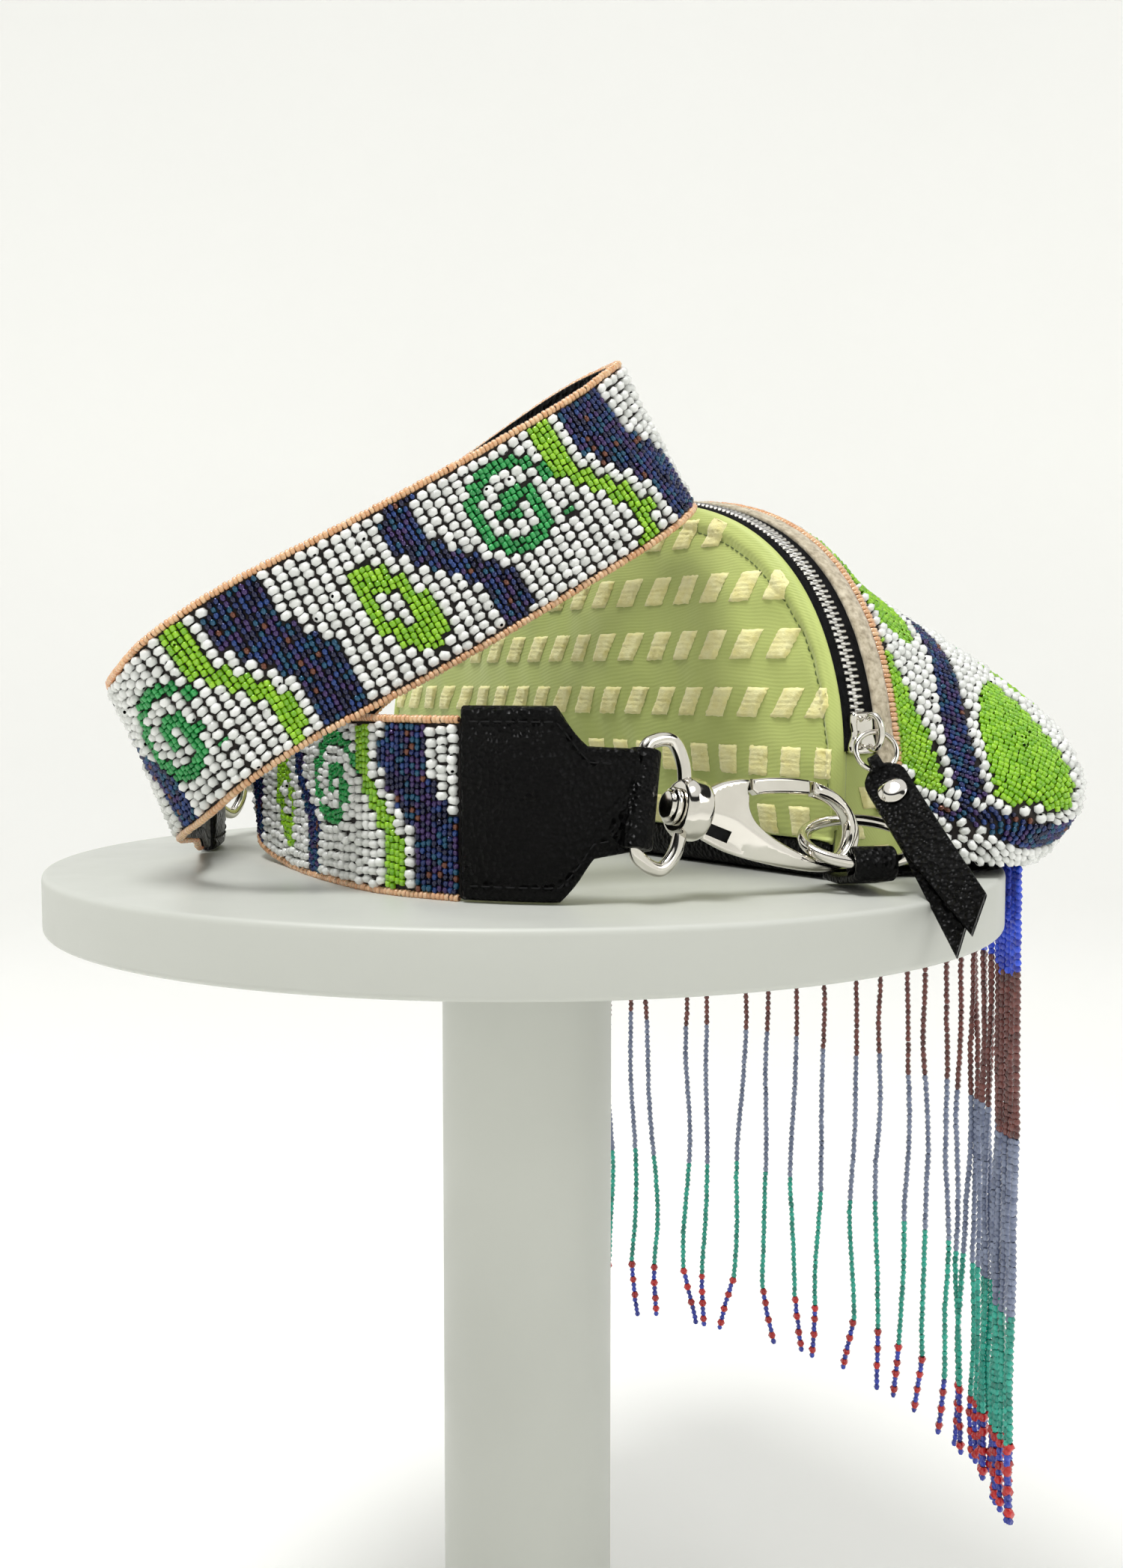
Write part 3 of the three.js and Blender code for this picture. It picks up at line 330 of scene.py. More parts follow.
BEAD_VARIES = {"on_string": 0.035, "in_column": 0.04, "count": 0.3, "phase": 0.16}
TIPPED = {"share": 0.12, "more": 3.5}
PATTERN = ["white", "lime", "kelly", "navy"]

# Shapes of bead as (along, radius) shares: round ones whose holes are near-black caps, thread and painted
# shade, tube-shaped ones and the smallest
ROUND_BEAD = {"sides": 7, "hole": True,
              "profile": [(-0.45, 0.3), (-0.43, 0.68), (0.0, 1.04), (0.43, 0.68), (0.45, 0.3)]}
PEACH_BEAD = {"sides": 7, "hole": False, "profile": [(-0.5, 0.62), (-0.3, 0.98), (0.3, 0.98), (0.5, 0.62)]}
TUBE_BEAD = {"sides": 5, "hole": False, "profile": [(-0.5, 0.6), (-0.38, 1.02), (0.38, 1.02), (0.5, 0.6)]}
FINE_BEAD = {"sides": 5, "hole": False, "profile": [(-0.5, 0.62), (0.0, 1.05), (0.5, 0.62)]}

# Pieces of a bead pattern: name, colours, shape, and how far the beads tilt and shift
PATTERN_PIECES = [
    ("white", ("white",), ROUND_BEAD, 0.15, 0.17),
    ("green", ("lime", "kelly"), TUBE_BEAD, 0.09, 0.1),
    ("navy", ("navy",), FINE_BEAD, 0.1, 0.1),
]


# Small vector tools

def unit(vectors):
    return vectors / np.linalg.norm(vectors, axis=-1, keepdims=True)


def ease(values, start, span):
    """Rises from 0 to 1 over a span."""
    return np.clip((values - start) / span, 0, 1)


def hump(distance, half):
    """Smooth hump of height 1 about zero."""
    return np.exp(-(distance / half) ** 2)


def laid(points):
    """From the stand top's frame, where the bag and strap lie, to the part's frame."""
    return np.asarray(points, float) + LAID


def from_bag(points):
    """From the bag's frame, x along its length, -y through its depth and z up, to the part's frame."""
    points = np.asarray(points, float)
    cosine = math.cos(BAG_TURN)
    sine = math.sin(BAG_TURN)
    x = points[..., 0] * cosine - points[..., 1] * sine
    y = points[..., 0] * sine + points[..., 1] * cosine
    return laid(np.stack([x, y, points[..., 2]], -1) + BAG_CORNER)


def through(points, shares, centripetal=False):
    """Catmull-Rom curve through points, read at shares of its knots from 0 to 1."""
    points = np.asarray(points, float)
    padded = np.vstack([2 * points[0] - points[1], points, 2 * points[-1] - points[-2]])
    place = np.clip(np.asarray(shares, float), 0, 1) * (len(points) - 1)
    index = np.minimum(place.astype(int), len(points) - 2)
    t = (place - index)[:, None]
    p0, p1, p2, p3 = (padded[index + k] for k in range(4))
    if centripetal:
        d0, d1, d2 = (np.sqrt(np.linalg.norm(b - a, axis=1))[:, None]
                      for a, b in ((p0, p1), (p1, p2), (p2, p3)))
        start = ((p1 - p0) / d0 - (p2 - p0) / (d0 + d1) + (p2 - p1) / d1) * d1
        end = ((p2 - p1) / d1 - (p3 - p1) / (d1 + d2) + (p3 - p2) / d2) * d1
    else:
        start = (p2 - p0) / 2
        end = (p3 - p1) / 2
    return (p1 + start * t + (3 * (p2 - p1) - 2 * start - end) * t ** 2
            + (2 * (p1 - p2) + start + end) * t ** 3)


def smooth_run(points, count):
    """Curve through points, read at a number of even shares."""
    return through(points, np.linspace(0, 1, count))


def lengths_along(points):
    steps = np.linalg.norm(np.diff(points, axis=0), axis=1)
    return np.concatenate([[0.0], np.cumsum(steps)])


def read_at(places, run, rows):
    """Rows known at the lengths in run, read at other lengths."""
    return np.stack([np.interp(places, run, column) for column in rows.T], -1)


def even(points, pitch):
    """The same line with points an even pitch apart."""
    run = lengths_along(points)
    count = max(2, int(round(run[-1] / pitch)) + 1)
    return read_at(np.linspace(0, run[-1], count), run, points)


def tangents_of(points, closed=False):
    if closed:
        return unit(np.roll(points, -1, 0) - np.roll(points, 1, 0))
    return unit(np.gradient(points, axis=0))


def matrix_of(a, b, c, place):
    """Turn and place of a frame, from its three axes."""
    return np.array([a, b, c], float).T, np.asarray(place, float)


def placed(points, matrix):
    turn, place = matrix
    return np.asarray(points, float) @ turn.T + place


def circle(radius, sides):
    turn = np.arange(sides) * 2 * math.pi / sides
    return np.stack([radius * np.cos(turn), radius * np.sin(turn)], 1)


def oval(centre, wide, high, steps=72):
    """Points round an ellipse from its half axes."""
    turn = circle(1.0, steps)
    return np.asarray(centre, float) + turn[:, :1] * np.asarray(wide) + turn[:, 1:] * np.asarray(high)


def rounded_box(width, height, radius, steps=4):
    """Outline of a rectangle with round corners, centred on the origin."""
    radius = min(radius, width / 2, height / 2)
    outline = []
    for quarter, (x, y) in enumerate([(1, 1), (-1, 1), (-1, -1), (1, -1)]):
        for step in range(steps + 1):
            turn = (quarter + step / steps) * math.pi / 2
            outline.append((x * (width / 2 - radius) + radius * math.cos(turn),
                            y * (height / 2 - radius) + radius * math.sin(turn)))
    return np.array(outline)


# Meshes, as pairs of points and faces

def grid_faces(rows, columns, close_rows=False, close_columns=False):
    i = np.arange(rows if close_rows else rows - 1)
    j = np.arange(columns if close_columns else columns - 1)
    i, j = (axis.ravel() for axis in np.meshgrid(i, j, indexing="ij"))
    down = (i + 1) % rows
    right = (j + 1) % columns
    return np.stack([i * columns + j, down * columns + j, down * columns + right, i * columns + right], 1)


def sheet(grid):
    """Open sheet from a grid in the bag's frame."""
    return from_bag(grid).reshape(-1, 3), grid_faces(*grid.shape[:2])


def skin(loops, closed=False):
    """Skin over a row of loops, capped at both ends or joined end to end."""
    rows, columns = loops.shape[:2]
    faces = grid_faces(rows, columns, close_rows=closed, close_columns=True).tolist()
    if not closed:
        faces.append(list(range(columns - 1, -1, -1)))
        faces.append(list(range((rows - 1) * columns, rows * columns)))
    return loops.reshape(-1, 3), faces


def sweep(centres, across, out, profiles, closed=False):
    """Skin of one profile, or one for each centre, measured along across and out."""
    loops = centres[:, None] + profiles[..., :1] * across[:, None] + profiles[..., 1:] * out[:, None]
    return skin(loops, closed)


def wire(points, radius, sides=14, closed=False):
    """Round wire along points, with a frame that turns as little as it can."""
    tangents = tangents_of(points, closed)
    side = unit(np.cross(tangents[0], [0.31, 0.87, 0.39]))
    across = []
    for tangent in tangents:
        side = unit(side - tangent * side.dot(tangent))
        across.append(side)
    across = np.array(across)
    return sweep(points, across, np.cross(tangents, across), circle(radius, sides), closed)


def lathe(profile, sides, matrix=None):
    """Turned body about the third axis from (radius, along) pairs."""
    profile = np.asarray(profile, float)
    rings = profile[:, None, :1] * circle(1.0, sides)[None]
    points = np.concatenate([rings, np.repeat(profile[:, None, 1:], sides, 1)], 2).reshape(-1, 3)
    if matrix is not None:
        points = placed(points, matrix)
    return points, grid_faces(len(profile), sides, close_columns=True)


def rounded_profile(corners, radius, steps=5):
    """Lathe profile with its inner corners rounded; the ends stay where they are."""
    corners = np.asarray(corners, float)
    profile = [corners[0]]
    for before, corner, after in zip(corners, corners[1:], corners[2:]):
        reach = min(radius, np.linalg.norm(before - corner) / 2, np.linalg.norm(after - corner) / 2)
        first = corner + unit(before - corner) * reach
        last = corner + unit(after - corner) * reach
        for t in np.linspace(0, 1, steps + 1):
            profile.append((1 - t) ** 2 * first + 2 * t * (1 - t) * corner + t ** 2 * last)
    profile.append(corners[-1])
    return np.array(profile)


def merge_parts(parts):
    """Joins several meshes into one."""
    points = []
    faces = []
    count = 0
    for part_points, part_faces in parts:
        points.append(np.asarray(part_points, float).reshape(-1, 3))
        part_faces = np.asarray(part_faces, object).tolist()
        faces.extend([[vertex + count for vertex in face] for face in part_faces])
        count += len(points[-1])
    return np.vstack(points), faces


# Objects

def make_object(name, points, faces, materials, face_materials=None):
    """Smooth mesh object from points in millimetres and faces, which are an array or a list."""
    mesh = bpy.data.meshes.new(name)
    if isinstance(faces, np.ndarray):
        faces = faces.tolist()
    mesh.from_pydata((np.asarray(points, float) * MM).tolist(), [], faces)
    for material in materials:
        mesh.materials.append(material)
    if face_materials is not None:
        mesh.polygons.foreach_set("material_index", np.asarray(face_materials, np.int32))
    mesh.polygons.foreach_set("use_smooth", [True] * len(mesh.polygons))
    mesh.update()
    obj = bpy.data.objects.new(name, mesh)
    bpy.context.scene.collection.objects.link(obj)
    return obj


def add_modifier(obj, kind, **settings):
    modifier = obj.modifiers.new(kind.lower(), kind)
    for key, value in settings.items():
        setattr(modifier, key, value)


def finish_piece(obj, slot, *nodes, body="bag"):
    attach(obj, body)
    if nodes:
        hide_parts(*nodes)


def add_piece(name, mesh, material, slot, *nodes, wall=None, side=-1.0):
    """Piece of one material. An open sheet gets a wall on one side of it."""
    obj = make_object(name, *mesh, [material])
    if wall is not None:
        add_modifier(obj, "SOLIDIFY", thickness=wall * MM, offset=side)
    finish_piece(obj, slot, *nodes)


# Material tools

def linear(red, green, blue):
    """Colour as the shader takes it, from the 0 to 255 values of a screen."""
    channels = [value / 255 for value in (red, green, blue)]
    return tuple(c / 12.92 if c <= 0.04045 else ((c + 0.055) / 1.055) ** 2.4 for c in channels) + (1.0,)


def node(owner, kind, **settings):
    """New node of a material or world, with its sockets and other settings."""
    made = owner.node_tree.nodes.new(kind)
    for key, value in settings.items():
        socket = key.replace("_", " ")
        if socket in made.inputs:
            made.inputs[socket].default_value = value
        else:
            setattr(made, key, value)
    return made


def link(owner, source, output, target, socket):
    owner.node_tree.links.new(source.outputs[output], target.inputs[socket])


def shader_of(material):
    return material.node_tree.nodes["Principled BSDF"]


def new_material(name, **sockets):
    material = bpy.data.materials.new(name)
    material.use_nodes = True
    for socket, value in sockets.items():
        shader_of(material).inputs[socket.replace("_", " ")].default_value = value
    return material


def ramp(owner, stops, constant=False):
    """Colour ramp from (place, colour) stops."""
    made = node(owner, "ShaderNodeValToRGB")
    made.color_ramp.interpolation = "CONSTANT" if constant else "LINEAR"
    elements = made.color_ramp.elements
    while len(elements) < len(stops):
        elements.new(0.5)
    for element, (place, colour) in zip(elements, stops):
        element.position = place
        element.color = colour
    return made


def colour_by(material, source, stops, constant=False):
    """Base colour from a source's Fac output, through stops of (share, screen colour)."""
    colours = ramp(material, [(share, linear(*colour)) for share, colour in stops], constant)
    link(material, source, "Fac", colours, "Fac")
    link(material, colours, "Color", shader_of(material), "Base Color")


def texture(material, kind, stretch=(1, 1, 1), **settings):
    """Texture over the piece's own coordinates."""
    made = node(material, f"ShaderNodeTex{kind}", **settings)
    mapping = node(material, "ShaderNodeMapping", Scale=stretch)
    link(material, node(material, "ShaderNodeTexCoord"), "Object", mapping, "Vector")
    link(material, mapping, "Vector", made, "Vector")
    return made


def mottled(name, stops, scale, detail=4.0, **sockets):
    """Material whose colour drifts over the surface with soft noise."""
    material = new_material(name, **sockets)
    colour_by(material, texture(material, "Noise", Scale=scale, Detail=detail), stops)
    return material


def roughness_noise(material, low, high, scale):
    noise = texture(material, "Noise", Scale=scale, Detail=3.0)
    spread = node(material, "ShaderNodeMapRange", From_Min=0.3, From_Max=0.7, To_Min=low, To_Max=high)
    link(material, noise, "Fac", spread, "Value")
    link(material, spread, "Result", shader_of(material), "Roughness")


def bump(material, source, strength, distance, output="Fac", after=None):
    """Relief from a texture, on top of an earlier relief if there is one."""
    made = node(material, "ShaderNodeBump", Strength=strength, Distance=distance * MM)
    link(material, source, output, made, "Height")
    if after is not None:
        link(material, after, "Normal", made, "Normal")
    link(material, made, "Normal", shader_of(material), "Normal")
    return made


# Materials

def make_beads(kind):
    """Glossy bead whose colour comes from the shade that each bead carries."""
    iris = kind == "navy"
    if iris:
        material = new_material("navy_iris_beads", Metallic=0.45, **BEAD_GLOSS)
        stops = NAVY_IRIS
    else:
        material = new_material(f"{kind}_beads", **BEAD_GLOW.get(kind, {}), **BEAD_GLOSS)
        stops = list(zip((0.0, 1.0), BEADS[kind][2:]))
    shade = node(material, "ShaderNodeAttribute", attribute_name="shade")
    colour_by(material, shade, stops, constant=iris)
    return material


def make_paint():
    material = mottled("stand_paint", [(0.3, (190, 192, 185)), (0.7, (196, 198, 191))], 9.0, Roughness=0.42)
    roughness_noise(material, 0.36, 0.5, 40.0)
    bump(material, texture(material, "Noise", Scale=900.0, Detail=2.0), 0.08, 0.1)
    return material


def make_green_cloth():
    material = mottled("green_cloth", [(0.25, (174, 187, 102)), (0.75, (195, 206, 122))], 26.0,
                       Roughness=0.55, Sheen_Weight=0.35, Sheen_Roughness=0.4)
    weave = texture(material, "Wave", Scale=520.0, Distortion=1.5, Detail=2.0, Detail_Scale=3.0,
                    bands_direction="DIAGONAL")
    threads = bump(material, weave, 0.25, 0.15)
    creases = texture(material, "Noise", (1.0, 1.0, 0.4), Scale=160.0, Detail=5.0)
    bump(material, creases, 0.25, 0.5, after=threads)
    return material


def make_dash_yarn():
    material = mottled("cream_yarn", [(0.3, (240, 230, 152)), (0.7, (252, 246, 186))], 300.0,
                       Roughness=0.9, Sheen_Weight=0.5)
    bump(material, texture(material, "Noise", Scale=2200.0, Detail=4.0), 0.7, 0.3)
    return material


def make_leather():
    material = mottled("black_leather", [(0.3, (2, 2, 2)), (0.75, (6, 6, 6))], 60.0,
                       Roughness=0.5, Specular_IOR_Level=0.1)
    roughness_noise(material, 0.25, 0.45, 90.0)
    grain = bump(material, texture(material, "Voronoi", Scale=640.0), 0.9, 1.0, "Distance")
    bump(material, texture(material, "Noise", Scale=260.0, Detail=6.0), 0.25, 0.5, after=grain)
    return material


def make_zip_cloth():
    material = mottled("zip_cloth", [(0.3, (10, 10, 11)), (0.7, (24, 24, 26))], 420.0,
                       Roughness=0.9, Specular_IOR_Level=0.1)
    weave = texture(material, "Wave", Scale=620.0, Distortion=2.0, Detail=2.0, bands_direction="DIAGONAL")
    bump(material, weave, 0.6, 0.35)
    return material


def make_linen():
    stops = [(0.28, (142, 130, 108)), (0.5, (186, 174, 150)), (0.72, (214, 204, 182))]
    material = mottled("linen_cloth", stops, 520.0, 6.0, Roughness=0.95, Sheen_Weight=0.25)
    bump(material, texture(material, "Noise", (1.0, 1.0, 0.3), Scale=1500.0, Detail=4.0), 0.8, 0.4)
    return material


def make_nickel():
    material = mottled("nickel", [(0.35, (214, 210, 201)), (0.65, (229, 225, 217))], 50.0,
                       Metallic=1.0, Roughness=0.08)
    roughness_noise(material, 0.05, 0.12, 120.0)
    return material


def make_zip_metal():
    material = mottled("zip_metal", [(0.3, (196, 194, 188)), (0.7, (232, 230, 226))], 300.0,
                       Metallic=1.0, Roughness=0.22)
    roughness_noise(material, 0.16, 0.3, 300.0)
    return material


BEAD_MATERIALS = {kind: make_beads(kind) for kind in BEADS}
PAINT = make_paint()
GREEN_CLOTH = make_green_cloth()
DASH_YARN = make_dash_yarn()
LEATHER = make_leather()
# Black thread for stitches and the fringe's head; the same near-black is painted shade in the beads' holes
# and on the floor of the hook's slot
BLACK_THREAD_AND_SHADE = mottled("black_thread_and_shade", [(0.3, (7, 7, 8)), (0.7, (17, 17, 18))], 700.0,
                       Roughness=0.6, Specular_IOR_Level=0.2)
GREEN_THREAD = mottled("green_thread", [(0.3, (74, 88, 40)), (0.7, (104, 120, 62))], 700.0, Roughness=0.6)
ZIP_CLOTH = make_zip_cloth()
LINEN_CLOTH = make_linen()
BACKING_CLOTH = mottled("bead_backing", [(0.3, (20, 18, 20)), (0.7, (52, 46, 42))], 600.0, Roughness=0.9)
NICKEL = make_nickel()
ZIP_METAL = make_zip_metal()


# Beads, each kept as its kind, centre, axis, way out, length and diameter

def string_beads(points, normals, kind_at, heights, store):
    """Threads beads along a line. kind_at names the bead for the height at its place."""
    run = lengths_along(points)
    rows = np.hstack([points, tangents_of(points), normals])
    place = RNG.uniform(0, STRING_END)
    while place < run[-1] - STRING_END:
        kind = kind_at(np.interp(place, run, heights))
        length, diameter = BEADS[kind][:2]
        size = RNG.normal(1.0, BEAD_VARIES["on_string"])
        row = read_at(place + length * size / 2, run, rows)
        store.append((kind, row[:3], row[3:6], row[6:], length * size, diameter * size))
        place += length * size + BEAD_GAP


def fill_string(points, normals, kind, wanted, store):
    """Threads beads of one colour along each stretch of a line where the pattern wants that colour."""
    length, diameter = BEADS[kind][:2]
    run = lengths_along(points)
    rows = np.hstack([points, tangents_of(points), normals])
    ends = np.flatnonzero(np.diff(np.concatenate([[0], wanted.astype(int), [0]])))
    loose = BEAD_VARIES["count"]
    slip = BEAD_VARIES["phase"]
    for first, last in ends.reshape(-1, 2):
        room = run[last - 1] - run[first]
        count = int(round(room / (length + BEAD_GAP) + RNG.uniform(-loose, loose)))
        if count == 0:
            continue
        step = room / count
        middles = run[first] + step * (np.arange(count) + 0.5 + RNG.uniform(-slip, slip))
        fitted = min(length * BEAD_STRETCH, step - BEAD_GAP)
        sizes = RNG.normal(1.0, BEAD_VARIES["in_column"], count)
        for row, size in zip(read_at(middles, run, rows), sizes):
            store.append((kind, row[:3], row[3:6], row[6:], fitted, diameter * size))


def fill_columns(places, read_line, read_codes):
    """Fills a pattern column by column: one string of white beads, or two finer strings of other colours."""
    beads = []
    white = PATTERN.index("white")
    for place in places:
        ground = read_codes(place)
        fill_string(*read_line(place), "white", ground == white, beads)
        for offset in (-BEAD_COLUMN / 4, BEAD_COLUMN / 4):
            line, out = read_line(place + offset)
            codes = read_codes(place + offset)
            codes = np.where((codes == white) | (ground == white), ground, codes)
            for code, kind in enumerate(PATTERN):
                if code != white:
                    fill_string(line, out, kind, codes == code, beads)
    return beads


def bead_object(name, beads, shape, tilt, shift, matrix=Matrix.Identity(4)):
    """One mesh of all these beads, with a shade for each, moved into the part's frame."""
    kinds = sorted({bead[0] for bead in beads})
    kind_index = np.array([kinds.index(bead[0]) for bead in beads])
    centres, axes, normals = (np.array([bead[k] for bead in beads]) for k in (1, 2, 3))
    sizes = np.array([bead[4:] for bead in beads])
    count = len(beads)
    tipped = np.where(RNG.uniform(0, 1, (count, 1)) < TIPPED["share"], TIPPED["more"], 1.0)
    axes = unit(unit(axes) + RNG.normal(0, tilt, (count, 3)) * tipped)
    sides = unit(np.cross(axes, normals))
    ups = np.cross(sides, axes)
    centres = centres + RNG.normal(0, shift, (count, 3))
    profile = np.array(shape["profile"])
    round_sides = shape["sides"]
    ring = circle(1.0, round_sides)
    along = profile[:, 0][None, :, None, None] * sizes[:, :1][:, None, None] * axes[:, None, None]
    radial = ring[None, None, :, :1] * sides[:, None, None] + ring[None, None, :, 1:] * ups[:, None, None]
    round_out = profile[:, 1][None, :, None, None] * (sizes[:, 1:] / 2)[:, None, None] * radial
    points = (centres[:, None, None] + along + round_out).reshape(-1, 3)
    one = grid_faces(len(profile), round_sides, close_columns=True)
    per_bead = len(profile) * round_sides
    starts = np.arange(count) * per_bead
    faces = (one[None] + starts[:, None, None]).reshape(-1, 4).tolist()
    face_materials = np.repeat(kind_index, len(one)).tolist()
    materials = [BEAD_MATERIALS[kind] for kind in kinds]
    # Each end of a holed bead is closed by a near-black cap: the thread, with painted shade for the hollow of
    # the hole
    if shape["hole"]:
        first = np.arange(round_sides)[::-1]
        last = np.arange(per_bead - round_sides, per_bead)
        for cap in (first, last):
            faces.extend((starts[:, None] + cap[None]).tolist())
        face_materials.extend([len(materials)] * (2 * count))
        materials.append(BLACK_THREAD_AND_SHADE)
    obj = make_object(name, points, faces, materials, face_materials)
    shade = obj.data.attributes.new("shade", "FLOAT", "POINT")
    shade.data.foreach_set("value", np.repeat(RNG.uniform(0, 1, count), per_bead).astype(np.float32))
    obj.data.transform(matrix)
    return obj


def pattern_objects(name, beads, slot, matrix=Matrix.Identity(4)):
    """The beads of a pattern as three pieces."""
    for colour, kinds, shape, tilt, shift in PATTERN_PIECES:
        chosen = [bead for bead in beads if bead[0] in kinds]
        finish_piece(bead_object(f"{name}_{colour}_beads", chosen, shape, tilt, shift, matrix), slot)


def bag_matrix():
    """From the bag's frame to the part's, in metres."""
    return Matrix.Translation((LAID + BAG_CORNER) * MM) @ Matrix.Rotation(BAG_TURN, 4, "Z")


# Stand

def make_stand():
    under = STAND_HEIGHT - STAND_THICKNESS
    turned = [
        ("stand_top", STAND_RADIUS, STAND_HEIGHT, under, STAND_EDGE),
        ("stand_column", COLUMN_RADIUS, under - GAP, FOOT_THICKNESS + GAP, COLUMN_EDGE),
        ("stand_foot", FOOT_RADIUS, FOOT_THICKNESS, 0, STAND_EDGE),
    ]
    for name, radius, high, low, edge in turned:
        profile = rounded_profile([(0, high), (radius, high), (radius, low), (0, low)], edge)
        add_piece(f"{name}_turned", lathe(profile, 192), PAINT, "stand_paint", name)


# Bag panels, in the bag's frame

def arch_point(degrees, depth, lift=0.0):
    """Points on the arch at some depth, tucked in at the bag's lower ends."""
    angle = np.radians(degrees)
    half = BAG_LENGTH / 2 + lift
    rise = BAG_HEIGHT + lift
    reach = (np.abs(np.cos(angle) / half) ** ARCH_POWER
             + np.abs(np.sin(angle) / rise) ** ARCH_POWER) ** (-1 / ARCH_POWER)
    up = reach * np.sin(angle)
    low = np.maximum(0, 1 - up / END_TUCK["below"]) ** 2
    shallow = np.maximum(0, 1 - np.asarray(depth) / TAPE_DEPTH[1])
    tuck = END_TUCK["inward"] * low * shallow * np.sign(np.cos(angle))
    along = BAG_LENGTH / 2 - reach * np.cos(angle) + tuck
    return np.stack([along, -depth + 0 * along, up + 0 * along], -1)


def arch_line(depth, start, end, pitch, lift=0.0):
    """Even points round the arch at one depth, with the way out of the arch at each."""
    line = even(arch_point(np.linspace(start, end, 600), depth, lift), pitch)
    tangents = tangents_of(line)
    out = np.stack([-tangents[:, 2], 0 * tangents[:, 0], tangents[:, 0]], 1)
    return line, unit(out)


def arch_band(depths, start, steps, lift=0.0):
    """Grid over the arch from an angle to the same one at its other end, with a column for each depth."""
    degrees = np.linspace(start, 180 - start, steps)
    return np.stack([arch_point(degrees, depth, lift) for depth in depths], 1)


def ripple(x, y, scale, seed):
    """Smooth wandering noise from a few waves, between about -1 and 1."""
    waves = np.random.default_rng(seed)
    total = 0
    for _ in range(7):
        turn = waves.uniform(0, 2 * math.pi)
        stretch = waves.uniform(0.6, 1.7) / scale
        phase = waves.uniform(0, 2 * math.pi)
        total = total + np.sin((x * math.cos(turn) + y * math.sin(turn)) * stretch * 2 * math.pi + phase)
    return total / 4


def back_grid(columns=131, rows=49):
    """The green panel, swelling at its middle and slightly puckered along its seam."""
    share = np.linspace(0, 1, columns)
    top = arch_point(np.linspace(EDGE_ANGLE, 180 - EDGE_ANGLE, columns), 0)
    along = CORNER_INSET + (BAG_LENGTH - 2 * CORNER_INSET) * share
    bottom = np.stack([along, 0 * share, BACK_BOTTOM + 0 * share], 1)
    drop = np.linspace(0, 1, rows) ** BACK_DROP_POWER
    grid = top[:, None] + (bottom - top)[:, None] * drop[None, :, None]
    swell = np.sin(math.pi * drop)[None] * np.sin(math.pi * share)[:, None]
    reach = np.linalg.norm(bottom - top, axis=1)[:, None] * drop[None]
    run = lengths_along(top)[:, None]
    held = np.minimum(1, drop * 12)[None] * np.minimum(1, (1 - drop) * 12)[None]
    wander = sum(row["high"] * ripple(grid[..., 0], grid[..., 2], row["span"], row["seed"]) for row in WANDER)
    folds = np.sin(run / GATHERS["span"] + GATHERS["drift"] * np.sin(run / GATHERS["drift_span"]))
    gathers = GATHERS["high"] * hump(reach - SEAM["inset"], GATHERS["half"]) * folds
    dent = SEAM["dent"] * hump(reach - SEAM["inset"], SEAM["half"])
    rim = PANEL_RIM["high"] * hump(reach - PANEL_RIM["inset"], PANEL_RIM["half"]) * np.minimum(1, drop * 40)
    grid[..., 1] = BACK_SWELL * swell + held * (wander + gathers) - dent + rim
    return grid


def dash_patch(columns=9, rows=21):
    """One raised patch of yarn in its plane: (x, z) places and heights, in stacked ribs of small knots."""
    x, z = np.meshgrid(np.linspace(-0.5, 0.5, columns), np.linspace(-0.5, 0.5, rows), indexing="ij")
    edge = np.sqrt(np.clip(np.minimum(0.5 - np.abs(x), 0.5 - np.abs(z)) * KNOTS["edge"], 0, 1))
    rib = (z + 0.5) * KNOTS["ribs"]
    least = KNOTS["least"]
    ribs = least + (1 - least) * np.sqrt(np.abs(np.sin(rib * math.pi)))
    turn = x * math.pi * KNOTS["across"] + np.floor(rib) * KNOTS["shift"]
    return x, z, edge * ribs * (least + (1 - least) * np.abs(np.sin(turn)))


def on_back(grid, x, z):
    """Height of the green panel out of its plane at (x, z), from its four nearest points."""
    flat = grid.reshape(-1, 3)
    nearest = []
    for px, pz in zip(x.ravel(), z.ravel()):
        distance = (flat[:, 0] - px) ** 2 + (flat[:, 2] - pz) ** 2
        close = np.argpartition(distance, 4)[:4]
        weight = 1 / (distance[close] + 0.01)
        nearest.append(np.sum(flat[close, 1] * weight) / np.sum(weight))
    return np.array(nearest).reshape(x.shape)


def panel_edge(up):
    """How far along the green panel starts at some height."""
    across = (1 - np.clip(up / BAG_HEIGHT, 0, 1) ** ARCH_POWER) ** (1 / ARCH_POWER)
    tuck = END_TUCK["inward"] * np.maximum(0, 1 - up / END_TUCK["below"]) ** 2
    return BAG_LENGTH / 2 * (1 - across) + tuck


def make_back():
    grid = back_grid()
    degrees = np.linspace(EDGE_ANGLE, 180 - EDGE_ANGLE, len(grid))
    fold = np.stack([arch_point(degrees, depth, lift) for depth, lift in FOLD_OVER], 1)
    cloth = sheet(np.concatenate([fold, grid], 1))
    add_piece("back_panel_cloth", cloth, GREEN_CLOTH, "green_cloth", "back_panel", wall=PANEL_WALL)
    make_back_dashes(grid)
    make_back_stitches(grid)


